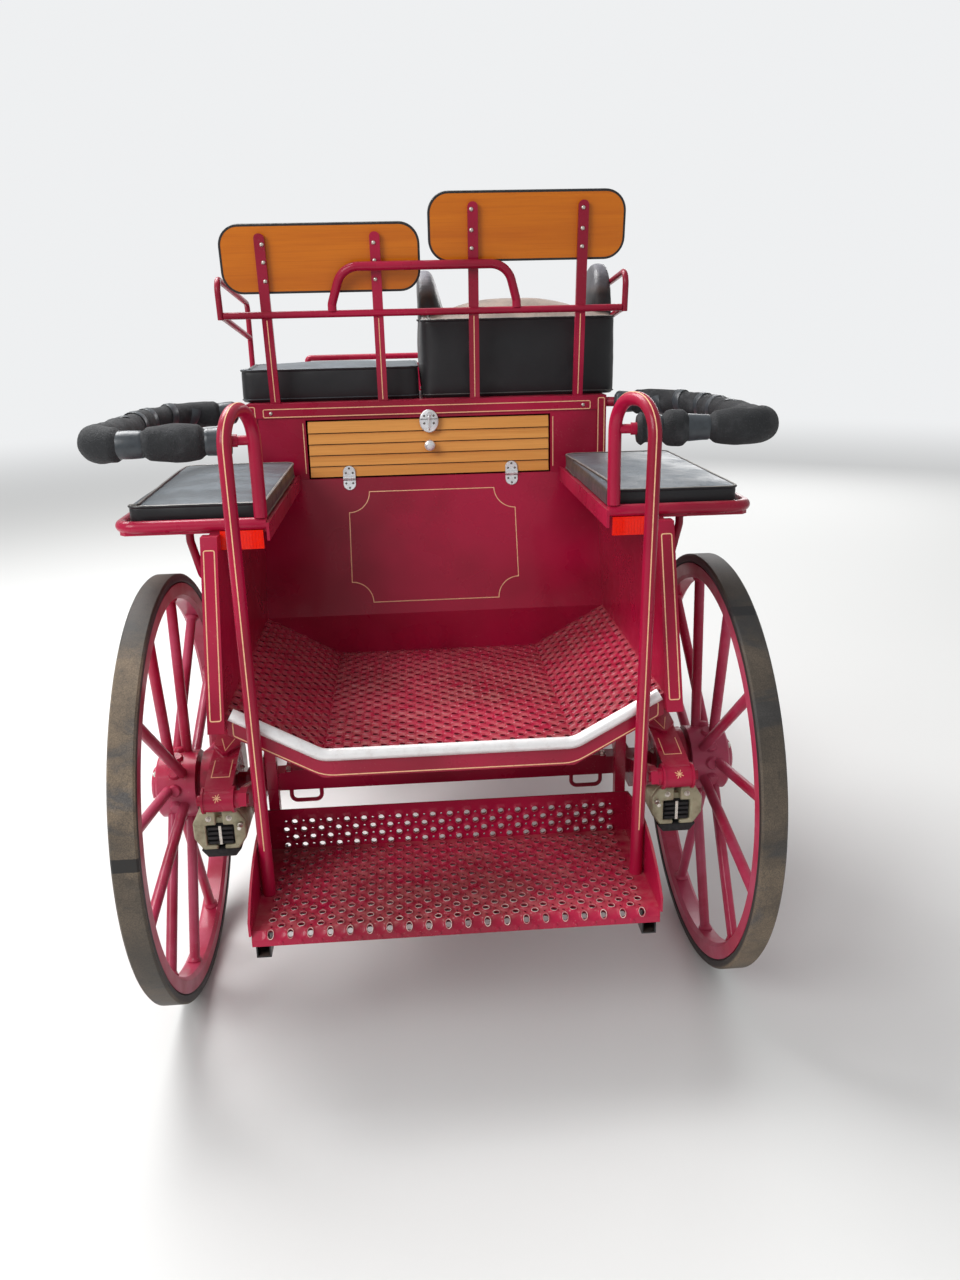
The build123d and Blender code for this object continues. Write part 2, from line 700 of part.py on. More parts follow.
def ring(z):
    """One plate ring of the turntable."""
    lower = (Align.CENTER, Align.CENTER, Align.MIN)
    plate = Cylinder(RING_R, RING_T, align=lower) - Cylinder(RING_BORE_R, RING_T, align=lower)
    return Pos(0, WHEELBASE, z) * plate


UPPER_RING_Z = PERCH_HIGH_Z - RING_T
LOWER_RING_Z = UPPER_RING_Z - RING_GAP - RING_T
FORE_RAIL_Z = LOWER_RING_Z - FORE_RAIL
FORE_WING_DROP = 6.0

keep("perch", perch() + ring(UPPER_RING_Z))
keep("spring_outriggers", Compound(outrigger()))
keep("body_bearers", bearers())


# Fore-carriage
def fore_frame():
    """Ladder frame under the lower ring, its kingpin and the hangers for the splinter bar."""
    shape = ring(LOWER_RING_Z)
    rail_half = FORE_RAIL / 2
    rear = WHEELBASE - RING_R
    front = FORE_FRONT_Y
    splinter_top = SPLINTER_Z + SPLINTER_SIZE / 2
    hanger_y = SPLINTER_Y + SPLINTER_SIZE / 2 - 3
    for side in (-1, 1):
        rail_0 = side * FORE_RAIL_X - rail_half
        rail_1 = side * FORE_RAIL_X + rail_half
        shape += block(rail_0, rail_1, rear, front, FORE_RAIL_Z, LOWER_RING_Z)
        shape += prism_x([(front - FORE_RAIL, FORE_RAIL_Z), (front, FORE_RAIL_Z), (hanger_y, splinter_top),
                          (front, splinter_top)], rail_0, rail_1)
    for cross_y in (rear + rail_half, WHEELBASE, front - rail_half):
        shape += block(-FORE_RAIL_X, FORE_RAIL_X, cross_y - rail_half, cross_y + rail_half,
                       FORE_RAIL_Z, LOWER_RING_Z)
    seat_z = spring_top(FRONT_HALF_SPANS, FRONT_EYE_Z)
    reach = FRONT_SPRING_X + LEAF_W / 2 + SPRING_SEAT_EDGE
    seat_inner = FRONT_SPRING_X - LEAF_W / 2 - SPRING_SEAT_EDGE
    half = OUTRIGGER_T / 2
    wing = [(FORE_RAIL_X, FORE_RAIL_Z), (FORE_RAIL_X, LOWER_RING_Z), (reach, LOWER_RING_Z - FORE_WING_DROP),
            (reach, seat_z), (seat_inner, seat_z)]
    for side in (-1, 1):
        outline = [(side * x, z) for x, z in wing]
        shape += prism_y(outline, WHEELBASE - half, WHEELBASE + half)
    perch_top = PERCH_HIGH_Z + PERCH_H
    head_top = perch_top + KINGPIN_HEAD_H
    shape += rod((0, WHEELBASE, LOWER_RING_Z), (0, WHEELBASE, head_top), KINGPIN_R)
    shape += rod((0, WHEELBASE, perch_top + RING_GAP), (0, WHEELBASE, head_top), KINGPIN_HEAD_R)
    return shape


def splinter_bar():
    """Cross bar with forked lugs and pins for the shafts and the ledge and pin for the swingletree."""
    y = SPLINTER_Y
    half = SPLINTER_SIZE / 2
    shape = block(-SPLINTER_HALF, SPLINTER_HALF, y - half, y + half, SPLINTER_Z - half, SPLINTER_Z + half)
    lug_x = SHAFT_R + LUG_GAP + LUG_T / 2
    pin_x = lug_x + LUG_T
    for side in (-1, 1):
        for lug in (-1, 1):
            x = side * SHAFT_X + lug * lug_x
            shape += block(x - LUG_T / 2, x + LUG_T / 2, y + half, SHAFT_PIVOT_Y + LUG_END,
                           SPLINTER_Z - LUG_H / 2, SPLINTER_Z + LUG_H / 2)
        shape += rod((side * SHAFT_X - pin_x, SHAFT_PIVOT_Y, SPLINTER_Z),
                     (side * SHAFT_X + pin_x, SHAFT_PIVOT_Y, SPLINTER_Z), SHAFT_PIN_R)
    ledge_z = SWINGLE_Z - SWINGLE_R - SWINGLE_LEDGE_GAP
    ledge_y = SWINGLE_Y + 2 * SWINGLE_PIN_R
    web_y = y + half + LEDGE_T
    low = SPLINTER_Z - half
    ledge = [(y + half, low), (y + half, ledge_z), (ledge_y, ledge_z), (ledge_y, ledge_z - LEDGE_T),
             (web_y, ledge_z - 3 * LEDGE_T), (web_y, low)]
    shape += prism_x(ledge, -LEDGE_HALF, LEDGE_HALF)
    pin_top = SWINGLE_Z + SWINGLE_R + LEDGE_T
    return shape + rod((0, SWINGLE_Y, ledge_z - LEDGE_T / 2), (0, SWINGLE_Y, pin_top), SWINGLE_PIN_R)


def swingletree():
    """Pivoting bar with an eye for a trace at each end."""
    y = SWINGLE_Y
    z = SWINGLE_Z
    shape = rod((-SWINGLE_HALF, y, z), (SWINGLE_HALF, y, z), SWINGLE_R)
    shape -= rod((0, y, z - 2 * SWINGLE_R), (0, y, z + 2 * SWINGLE_R), SWINGLE_PIN_R + EYE_BOLT_GAP)
    eye = Cylinder(TRACE_EYE_OUTER_R, TRACE_EYE_T) - Cylinder(TRACE_EYE_R, TRACE_EYE_T)
    for side in (-1, 1):
        shape += Pos(side * (SWINGLE_HALF + TRACE_EYE_OUTER_R - TRACE_EYE_LAP), y, z) * eye
    return shape


def shaft():
    """One round shaft from its pivot down to its tip on the ground, with a turned-out end."""
    barrel = Cylinder(SHAFT_R + SHAFT_EYE_WALL, 2 * SHAFT_R)
    barrel -= Cylinder(SHAFT_PIN_R + EYE_BOLT_GAP, 2 * SHAFT_R)
    eye = Pos(SHAFT_X, SHAFT_PIVOT_Y, SPLINTER_Z) * Rot(0, 90, 0) * barrel
    start_y = SHAFT_PIVOT_Y + SHAFT_R + SHAFT_EYE_WALL - 1
    path = [(SHAFT_X, start_y, SPLINTER_Z)]
    for share, out, drop in SHAFT_ROUTE:
        path.append((SHAFT_X + out * SHAFT_L, SHAFT_PIVOT_Y + share * SHAFT_L, SPLINTER_Z * (1 - drop)))
    path.append((SHAFT_X + SHAFT_TIP_OUT * SHAFT_L, SHAFT_TIP_Y - SHAFT_R, SHAFT_R))
    return eye + bent_tube(path, SHAFT_BEND, SHAFT_R)


keep("fore_carriage", fore_frame())
keep("splinter_bar", splinter_bar())
keep("swingletree", swingletree())
for side_name, side in SIDES:
    keep(f"shaft_{side_name}", mirrored(shaft(), side))


# Grooms' well
def trough(drop, thickness):
    """Cross-section of the well's floor, drop below its top face, as (x, z) points."""
    top = [(-WELL_HALF, WING_TOP_Z), (-WELL_FLAT_HALF, WELL_FLOOR_Z), (WELL_FLAT_HALF, WELL_FLOOR_Z),
           (WELL_HALF, WING_TOP_Z)]
    upper = [(x, z - drop) for x, z in top]
    lower = [(x, z - drop - thickness) for x, z in reversed(top)]
    return upper + lower


def back_y(z):
    """Place of the well's sloping back at a height."""
    return BACK_FOOT_Y + BACK_SLOPE * (z - WING_TOP_Z)


def well_wall():
    """Right wall of the well, from the leaning pillar to the sloping back."""
    foot_z = WING_TOP_Z - WALL_DROP
    outline = [(WELL_REAR_Y, foot_z), (BACK_FOOT_Y, foot_z), (BACK_FOOT_Y, WING_TOP_Z),
               (back_y(WALL_TOP_Z), WALL_TOP_Z), (WELL_REAR_Y + PILLAR_LEAN_Y, WALL_TOP_Z)]
    return prism_x(outline, WELL_HALF, WELL_HALF + WALL_T)


def well_pillar():
    """Leaning rear post on the wall's edge."""
    foot_z = WING_TOP_Z - WALL_DROP
    y = WELL_REAR_Y
    outline = [(y, foot_z), (y + PILLAR_LEAN_Y, WALL_TOP_Z), (y + PILLAR_LEAN_Y - PILLAR_D, WALL_TOP_Z),
               (y - PILLAR_D, foot_z)]
    return prism_x(outline, WELL_HALF, WELL_HALF + PILLAR_W)


def well_nosing():
    """Half-round strip on the floor's rear edge."""
    y = WELL_REAR_Y
    section = Circle(NOSING_R) - Pos(NOSING_R, 0) * Rectangle(2 * NOSING_R, 2 * NOSING_R)
    right = [(WELL_FLAT_HALF, y, WELL_FLOOR_Z + NOSING_RAISE),
             (WELL_HALF - NOSING_END_GAP, y, WING_TOP_Z - NOSING_RAISE)]
    left = [(-x, y, z) for x, y, z in reversed(right)]
    path = FilletPolyline(*left, *right, radius=NOSING_BEND_R)
    start = Plane(origin=path @ 0, x_dir=(0, 1, 0), z_dir=path % 0)
    return sweep(start * section, path)


keep("well_floor", prism_y(trough(0, FLOOR_T), WELL_REAR_Y, BACK_FOOT_Y))
keep("well_edge_band", prism_y(trough(FLOOR_T, BAND_H), WELL_REAR_Y, WELL_REAR_Y + BAND_T))
keep("well_nosing", well_nosing())
for side_name, side in SIDES:
    keep(f"well_wall_{side_name}", mirrored(well_wall() + well_pillar(), side))


# Driver's box and its door
def driver_box():
    """Hollow box under the bench with the well's sloping back wall and the door opening."""
    wall = BOX_WALL
    low = WELL_FLOOR_Z - FLOOR_T
    outline = [(BACK_FOOT_Y, low), (BACK_FOOT_Y, WING_TOP_Z), (BACK_SHOULDER_Y, BACK_SHOULDER_Z),
               (BACK_SHOULDER_Y, BOX_TOP_Z), (BOX_FRONT_Y, BOX_TOP_Z), (BOX_FRONT_Y, BODY_Z),
               (BACK_FOOT_Y + BOX_FLOOR_STEP, BODY_Z), (BACK_FOOT_Y + BACK_PANEL_T, WING_TOP_Z - BOX_EASE),
               (BACK_FOOT_Y + BACK_PANEL_T, low)]
    shape = prism_x(outline, -BOX_HALF, BOX_HALF)
    inner = [(BACK_FOOT_Y + BOX_FLOOR_STEP - BOX_EASE, BODY_Z + wall),
             (BACK_SHOULDER_Y + wall, BACK_SHOULDER_Z),
             (BACK_SHOULDER_Y + wall, BOX_TOP_Z - wall), (BOX_FRONT_Y - wall, BOX_TOP_Z - wall),
             (BOX_FRONT_Y - wall, BODY_Z + wall)]
    shape -= prism_x(inner, -BOX_HALF + wall, BOX_HALF - wall)
    proud_y = BACK_SHOULDER_Y - EDGE_PROUD
    shape += block(-BOX_HALF, BOX_HALF, proud_y, BACK_SHOULDER_Y, BOX_TOP_Z - EDGE_RAIL_H, BOX_TOP_Z)
    for side in (-1, 1):
        shape += block(side * (BOX_HALF - EDGE_POST_W), side * BOX_HALF, proud_y, BACK_SHOULDER_Y,
                       SEAT_Z + SEAT_TUBE_R, BOX_TOP_Z)
    gap = DOOR_GAP
    shape -= block(-DOOR_HALF - gap, DOOR_HALF + gap, proud_y, BACK_SHOULDER_Y + wall,
                   DOOR_Z0 - gap, DOOR_Z1 + gap)
    return shape


def locker_door():
    """Wooden door of overlapping slats, with its latch and knob."""
    y0 = BACK_SHOULDER_Y
    slat_h = (DOOR_Z1 - DOOR_Z0) / SLAT_COUNT
    outline = [(y0 + DOOR_T, DOOR_Z1), (y0 + DOOR_T, DOOR_Z0)]
    for index in range(SLAT_COUNT):
        z = DOOR_Z0 + slat_h * index
        outline += [(y0, z), (y0 + SLAT_SLOPE, z + slat_h)]
    shape = prism_x(outline, -DOOR_HALF, DOOR_HALF)
    middle_y = y0 + DOOR_T / 2
    latch_y = y0 - EDGE_PROUD - CUSHION_GAP
    stem_z = DOOR_Z1 - LATCH_STEM_DROP
    knob_z = DOOR_Z1 - KNOB_DROP
    shape += rod((0, middle_y, stem_z), (0, latch_y, stem_z), LATCH_STEM_R)
    shape += rod((0, latch_y, DOOR_Z1), (0, latch_y - LATCH_T, DOOR_Z1), LATCH_R)
    end = KNOB_R + KNOB_NECK_R
    profile = [(0, 0), (0, KNOB_NECK_R), (KNOB_OUT - end, KNOB_NECK_R), (KNOB_OUT - KNOB_R, KNOB_R),
               (KNOB_OUT - KNOB_NECK_R, KNOB_R), (KNOB_OUT, KNOB_R / 2), (KNOB_OUT, 0)]
    knob = turned([(x if x == 0 else x + DOOR_T / 2, r) for x, r in profile])
    return shape + Pos(0, middle_y, knob_z) * Rot(0, 0, -90) * knob


keep("driver_box", driver_box())
keep("locker_door", locker_door())


# Door hinges
def hinge_plate(x, foot, along, hand):
    """Round-ended leaf from a point, in a direction, both (y, z); the hand is 1 upwards and -1 downwards."""
    shape = make_face(Polyline((-HINGE_W / 2, 0), (HINGE_W / 2, 0), (HINGE_W / 2, HINGE_LEAF_L),
                               (-HINGE_W / 2, HINGE_LEAF_L), close=True))
    shape += Pos(0, HINGE_LEAF_L) * Circle(HINGE_W / 2)
    across = Vector(hand, 0, 0)
    place = Plane(origin=(x, *foot), x_dir=across, z_dir=across.cross(Vector(0, *along)))
    return place * extrude(shape, amount=HINGE_LEAF_T)


def hinge_leaf(x):
    """Leaf on the sloping wall with the middle knuckle."""
    top = HINGE_Z - HINGE_KNUCKLE_R - HINGE_LEAF_T
    foot = (back_y(top), top)
    shape = hinge_plate(x, foot, (-BACK_SLOPE, -1), -1)
    half = HINGE_KNUCKLE_L / 2
    knuckle = rod((x - half, HINGE_Y, HINGE_Z), (x + half, HINGE_Y, HINGE_Z), HINGE_KNUCKLE_R)
    web = prism_x([(HINGE_Y - HINGE_LEAF_T, HINGE_Z), (HINGE_Y, HINGE_Z), (foot[0], top),
                   (foot[0] - HINGE_LEAF_T, top - HINGE_LEAF_T)], x - half, x + half)
    bore_r = HINGE_PIN_R + HINGE_PIN_GAP
    return shape + knuckle + web - rod((x - half, HINGE_Y, HINGE_Z), (x + half, HINGE_Y, HINGE_Z), bore_r)


def hinge_strap(x):
    """Leaf on the door with the two outer knuckles and the pin."""
    y0 = BACK_SHOULDER_Y
    inner = HINGE_KNUCKLE_L / 2 + HINGE_PIN_GAP
    outer = HINGE_W / 2
    z0 = DOOR_Z0 + HINGE_STRAP_RISE
    shape = hinge_plate(x, (y0, z0), (0, 1), 1)
    for side in (-1, 1):
        x0 = x + side * inner
        x1 = x + side * outer
        shape += rod((x0, HINGE_Y, HINGE_Z), (x1, HINGE_Y, HINGE_Z), HINGE_KNUCKLE_R)
        shape += block(x0, x1, HINGE_Y, y0, z0, z0 + HINGE_LEAF_T)
    return shape + rod((x - outer, HINGE_Y, HINGE_Z), (x + outer, HINGE_Y, HINGE_Z), HINGE_PIN_R)


keep("door_hinges", Compound([hinge_leaf(x) for x in HINGE_XS]))
keep("door_straps", Compound([hinge_strap(x) for x in HINGE_XS]))


# Bench
LEAN = math.tan(math.radians(POST_LEAN))


def post_y(z):
    """Rear face of the leaning posts at a height."""
    return POST_FOOT_Y - LEAN * (z - BOX_TOP_Z)


def back_frame():
    """Four leaning posts with the cross bar on their rear faces."""
    shape = None
    for x, top_z in zip(POST_XS, POST_TOPS):
        outline = [(post_y(BOX_TOP_Z), BOX_TOP_Z), (post_y(BOX_TOP_Z) + POST_D, BOX_TOP_Z),
                   (post_y(top_z) + POST_D, top_z), (post_y(top_z), top_z)]
        post = prism_x(outline, x - POST_W / 2, x + POST_W / 2)
        corners = post.edges().group_by(Axis.Z)[-1].filter_by(Axis.Y)
        post = fillet(corners, POST_TOP_R)
        shape = post if shape is None else shape + post
    bar_y = post_y(BACK_BAR_Z)
    return shape + rod((-BACK_BAR_HALF, bar_y, BACK_BAR_Z), (BACK_BAR_HALF, bar_y, BACK_BAR_Z), BACK_BAR_R)


def back_handle():
    """Raised bent handle that stands on the cross bar behind the two inner posts."""
    z0 = BACK_BAR_Z + BACK_BAR_R
    y0 = post_y(z0)
    top_y = post_y(HANDLE_TOP_Z) - HANDLE_R - POST_D / 2
    right = [(HANDLE_TOP_HALF, top_y, HANDLE_TOP_Z), (HANDLE_HALF, y0, z0 + HANDLE_PLATE_H),
             (HANDLE_HALF, y0, z0)]
    path = [(-x, y, z) for x, y, z in reversed(right)] + right
    bends = [HANDLE_BEND_R / 3, HANDLE_BEND_R, HANDLE_BEND_R, HANDLE_BEND_R / 3]
    return bent_tube(path, bends, HANDLE_R)


def arm_rail():
    """Right arm: upper bar with its two uprights, the lower bar and the foot on the box."""
    x = BACK_BAR_HALF + ARM_R
    y0 = post_y(BACK_BAR_Z)
    path = [(x, y0, BACK_BAR_Z - BACK_BAR_R), (x, post_y(ARM_REAR_TOP_Z), ARM_REAR_TOP_Z),
            (x, ARM_FRONT_Y, ARM_FRONT_TOP_Z), (x, ARM_FRONT_Y, ARM_FOOT_Z)]
    shape = bent_tube(path, ARM_BEND_R, ARM_R)
    kink = (x, y0 + ARM_KINK_L, BACK_BAR_Z - ARM_KINK_DROP)
    shape += bent_tube([(x, y0, BACK_BAR_Z), kink, (x, ARM_FRONT_Y, ARM_LOWER_FRONT_Z)], ARM_BEND_R, ARM_R)
    foot_y = BOX_FRONT_Y - 2 * ARM_BEND_R
    return shape + block(BOX_HALF, x + ARM_R, foot_y, ARM_FRONT_Y, ARM_FOOT_Z - 2 * ARM_R, ARM_FOOT_Z)


def backrest(index):
    """Rounded wooden panel on the front of the posts."""
    x, z = BACKREST_CENTRES[index]
    panel = extrude(RectangleRounded(BACKREST_W, BACKREST_H, BACKREST_R), amount=BACKREST_T)
    face = Plane(origin=(x, post_y(z) + POST_D, z), x_dir=(1, 0, 0),
                 z_dir=(0, math.cos(math.radians(POST_LEAN)), math.sin(math.radians(POST_LEAN))))
    return face * panel


def soft_block(x0, x1, y0, y1, z0, z1, radius):
    """Cushion block with round upright corners."""
    return fillet(block(x0, x1, y0, y1, z0, z1).edges().filter_by(Axis.Z), radius)


def driver_cushion():
    """High driver's cushion with an upright round ear on each side."""
    z0 = BOX_TOP_Z + CUSHION_GAP
    top = z0 + DRIVER_BLOCK_T
    x0 = BENCH_SPLIT_X + CUSHION_GAP
    shape = soft_block(x0, BENCH_HALF, BENCH_Y0, BENCH_Y1, z0, top, CUSHION_CORNER_R)
    outline = Plane.YZ * Ellipse((EAR_Y1 - EAR_Y0) / 2, EAR_H)
    ear = extrude(outline, amount=EAR_W, dir=(1, 0, 0))
    for ear_x in (x0, BENCH_HALF - EAR_W):
        shape += Pos(ear_x, (EAR_Y0 + EAR_Y1) / 2, top) * ear
    return shape


keep("back_frame", back_frame())
keep("back_handle", back_handle())
keep("arm_rails", both_sides(arm_rail()))
for index, (side_name, _) in enumerate(SIDES):
    keep(f"backrest_{side_name}", backrest(index))
bench_z = BOX_TOP_Z + CUSHION_GAP
keep("bench_cushion_left", soft_block(-BENCH_HALF, BENCH_SPLIT_X, BENCH_Y0, BENCH_Y1, bench_z,
                                      bench_z + LEFT_CUSHION_T, CUSHION_CORNER_R))
keep("bench_cushion_right", driver_cushion())


# Side seats
def side_seat():
    """Right side seat: bent tube round the board's outside and a flat bar along its inside."""
    z = SEAT_Z
    board_low = z - SEAT_BOARD_T
    bar_x = SEAT_INNER_X + SEAT_BAR_T
    path = [(bar_x, SEAT_REAR_Y, z), (SEAT_OUTER_X, SEAT_REAR_Y, z), (SEAT_OUTER_X, SEAT_FRONT_Y, z),
            (BOX_HALF + SEAT_END_GAP, SEAT_FRONT_Y, z)]
    shape = bent_tube(path, SEAT_CORNER_R, SEAT_TUBE_R)
    board = block(bar_x, SEAT_OUTER_X, SEAT_REAR_Y, SEAT_FRONT_Y, board_low, z)
    shape += chamfer(board.edges().filter_by(Axis.Z).group_by(Axis.X)[-1], SEAT_CORNER_R / 3)
    bar_top = z + SEAT_BAR_RISE
    bar_y = SEAT_REAR_Y - SEAT_TUBE_R
    return shape + block(SEAT_INNER_X, bar_x, bar_y, SEAT_FRONT_Y, bar_top - SEAT_BAR_H, bar_top)


def seat_buffer():
    """Rubber buffer under the board."""
    top = SEAT_Z - SEAT_BOARD_T
    return rod((BUFFER_X, BUFFER_Y, top - BUFFER_H), (BUFFER_X, BUFFER_Y, top), BUFFER_R)


def seat_brace():
    """Bent brace from the buffer down to the well's wall."""
    top = SEAT_Z - SEAT_BOARD_T - BUFFER_H
    path = [(BUFFER_X, BUFFER_Y, top), (BUFFER_X, BUFFER_Y, top - BRACE_STRAIGHT),
            (BUFFER_X - BRACE_KNEE_IN, BUFFER_Y, BRACE_FOOT_Z), (WELL_HALF + WALL_T, BUFFER_Y, BRACE_FOOT_Z)]
    return bent_tube(path, BRACE_BEND_R, BRACE_R)


def side_cushion():
    """Thin cushion inside the seat's rim."""
    x0 = SEAT_INNER_X + SEAT_BAR_T + CUSHION_GAP
    x1 = SEAT_OUTER_X - SEAT_TUBE_R - CUSHION_GAP
    y0 = SEAT_REAR_Y + HOOP_R + CUSHION_GAP
    y1 = SEAT_FRONT_Y - SEAT_TUBE_R - CUSHION_GAP
    z0 = SEAT_Z + CUSHION_GAP
    return soft_block(x0, x1, y0, y1, z0, z0 + SIDE_CUSHION_T, SIDE_CUSHION_R)


def grab_hoop():
    """Upside-down U bar from the step up past the well and down to the seat, with the rail's stub."""
    wing_slope = (WING_TOP_Z - WELL_FLOOR_Z) / (WELL_HALF - WELL_FLAT_HALF)
    nosing_z = WELL_FLOOR_Z + wing_slope * (HOOP_FOOT_X - WELL_FLAT_HALF)
    passing_y = WELL_REAR_Y - NOSING_R - HOOP_R - HOOP_NOSING_GAP
    slope = HOOP_LEAN_Y / (HOOP_TOP_Z - STEP_Z)
    foot_y = passing_y - slope * (nosing_z - STEP_Z)
    seat_z = SEAT_Z + SEAT_TUBE_R
    path = [(HOOP_FOOT_X, foot_y, STEP_Z), (HOOP_TOP_X, foot_y + HOOP_LEAN_Y, HOOP_TOP_Z),
            (HOOP_LEG_X, SEAT_REAR_Y, HOOP_TOP_Z), (HOOP_LEG_X, SEAT_REAR_Y, seat_z)]
    shape = bent_tube(path, HOOP_BEND_R, HOOP_R) - block(HOOP_FOOT_X - 2 * HOOP_R, HOOP_FOOT_X + 2 * HOOP_R,
                                                         foot_y - 2 * HOOP_R, foot_y + 2 * HOOP_R, 0, STEP_Z)
    stub_y = HIP_CORNER_Y + (HOOP_STUB_END_X - HIP_OUTER_X) * HIP_START_SLOPE
    return shape + rod((HOOP_LEG_X, SEAT_REAR_Y, HIP_Z), (HOOP_STUB_END_X, stub_y, HIP_Z), HOOP_STUB_R)


HIP_START_SLOPE = (HIP_CORNER_Y - SEAT_REAR_Y) / (HIP_OUTER_X - HOOP_LEG_X)


def hip_path(start_x, end_x):
    """Centre line of the hip rail between two places on its first and last runs."""
    start_y = HIP_CORNER_Y + (start_x - HIP_OUTER_X) * HIP_START_SLOPE
    end_slope = (HIP_KNEE_Y - HIP_END_Y) / (HIP_KNEE_X - BOX_HALF)
    end_y = HIP_END_Y + (end_x - BOX_HALF) * end_slope
    route = [(start_x, start_y), (HIP_OUTER_X, HIP_CORNER_Y), (HIP_OUTER_X, HIP_SIDE_END_Y),
             (HIP_KNEE_X, HIP_KNEE_Y), (end_x, end_y)]
    return [(x, y, HIP_Z) for x, y in route]


def hip_rail():
    """Level U loop over the side seat, from the hoop's stub to the box's side."""
    rail = bent_tube(hip_path(HOOP_STUB_END_X, BOX_HALF - HIP_TUBE_R), HIP_BENDS, HIP_TUBE_R)
    return rail - block(BOX_HALF - 4 * HIP_TUBE_R, BOX_HALF, BACK_SHOULDER_Y - 4 * HIP_TUBE_R, BOX_FRONT_Y,
                        HIP_Z - 2 * HIP_TUBE_R, HIP_Z + 2 * HIP_TUBE_R)


def hip_pad():
    """Foam sleeve round the rail."""
    path = hip_path(HIP_PAD_START_X, HIP_PAD_END_X)
    return bent_tube(path, HIP_BENDS, HIP_PAD_R) - bent_tube(path, HIP_BENDS, HIP_TUBE_R + HIP_PAD_GAP)


for side_name, side in SIDES:
    keep(f"side_seat_{side_name}", mirrored(side_seat(), side))
    keep(f"side_cushion_{side_name}", mirrored(side_cushion(), side))
    keep(f"grab_hoop_{side_name}", mirrored(grab_hoop(), side))
    keep(f"hip_rail_{side_name}", mirrored(hip_rail(), side))
    keep(f"hip_pad_{side_name}", mirrored(hip_pad(), side))
keep("seat_buffers", both_sides(seat_buffer()))
keep("seat_braces", both_sides(seat_brace()))


# Rear step
def rear_step():
    """Tread, folded lip, riser and curved side plates in one pressing, with its hangers."""
    t = STEP_T
    riser_z = STEP_Z + STEP_RISER_H
    lip_z = STEP_Z - STEP_LIP
    section = [(STEP_REAR_Y, lip_z), (STEP_REAR_Y, STEP_Z), (STEP_FRONT_Y, STEP_Z), (STEP_FRONT_Y, riser_z),
               (STEP_FRONT_Y + t, riser_z), (STEP_FRONT_Y + t, STEP_Z - t), (STEP_REAR_Y + t, STEP_Z - t),
               (STEP_REAR_Y + t, lip_z)]
    shape = prism_x(section, -STEP_HALF, STEP_HALF)
    corner = (STEP_REAR_Y, STEP_Z + STEP_SIDE_CORNER_H)
    middle = (STEP_REAR_Y + 0.3 * (STEP_FRONT_Y - STEP_REAR_Y), STEP_Z + STEP_SIDE_MIDDLE_H + 8)
    crest = (STEP_REAR_Y + 0.7 * (STEP_FRONT_Y - STEP_REAR_Y), STEP_Z + STEP_SIDE_CREST_H)
    front = STEP_FRONT_Y + t
    top_edge = ThreePointArc(corner, middle, crest)
    rest = Polyline(crest, (front, riser_z), (front, STEP_Z - t), (STEP_REAR_Y, STEP_Z - t), corner)
    plate = Plane.YZ * make_face([top_edge] + rest.edges())
    for side in (-1, 1):
        x = side * (STEP_HALF + STEP_SIDE_T / 2) - STEP_SIDE_T / 2
        shape += Pos(x, 0, 0) * extrude(plate, amount=STEP_SIDE_T, dir=(1, 0, 0))
    slope = (WING_TOP_Z - WELL_FLOOR_Z) / (WELL_HALF - WELL_FLAT_HALF)
    for side in (-1, 1):
        x0 = STEP_HANGER_X - STEP_HANGER_W / 2
        x1 = STEP_HANGER_X + STEP_HANGER_W / 2
        tops = [WELL_FLOOR_Z - FLOOR_T + slope * (x - WELL_FLAT_HALF) for x in (x0, x1)]
        right = [(x0, STEP_Z - t), (x1, STEP_Z - t), (x1, tops[1]), (x0, tops[0])]
        shape += prism_y([(side * x, z) for x, z in right], front, front + STEP_HANGER_D)
    return shape


def step_stub(side):
    """Open-ended rectangular tube under the end of the tread."""
    x = side * STUB_X
    half = STUB_W / 2
    top = STEP_Z - STEP_T
    rear = STEP_REAR_Y + STUB_SETBACK
    outer = block(x - half, x + half, rear, STEP_FRONT_Y + STEP_T + STEP_HANGER_D, top - STUB_H, top)
    hollow = block(x - half + STUB_WALL, x + half - STUB_WALL, rear, rear + STUB_HOLLOW_L,
                   top - STUB_H + STUB_WALL, top - STUB_WALL)
    return outer - hollow


keep("rear_step", rear_step())
keep("step_stubs", Compound([step_stub(-1), step_stub(1)]))


# Foot well
def foot_well():
    """Floor, sloping toe board and dash in one bent panel."""
    t = FOOT_PLATE_T
    dash_top_y = DASH_Y + DASH_LEAN
    section = [(BOX_FRONT_Y, BODY_Z), (TOE_Y, BODY_Z), (DASH_Y, DASH_FOOT_Z), (dash_top_y, DASH_TOP_Z),
               (dash_top_y - DASH_T, DASH_TOP_Z), (DASH_Y - t, DASH_FOOT_Z + t / 3),
               (TOE_Y - t / 2, BODY_Z + t), (BOX_FRONT_Y, BODY_Z + t)]
    return prism_x(section, -FOOT_HALF, FOOT_HALF)


def dash_rail():
    """Bent tube over the dash."""
    y = DASH_Y + DASH_LEAN - DASH_T / 2
    x = FOOT_HALF - DASH_RAIL_INSET
    top = DASH_TOP_Z + DASH_RAIL_H
    path = [(-x, y, DASH_TOP_Z), (-x, y, top), (x, y, top), (x, y, DASH_TOP_Z)]
    return bent_tube(path, DASH_RAIL_BEND_R, DASH_RAIL_R)


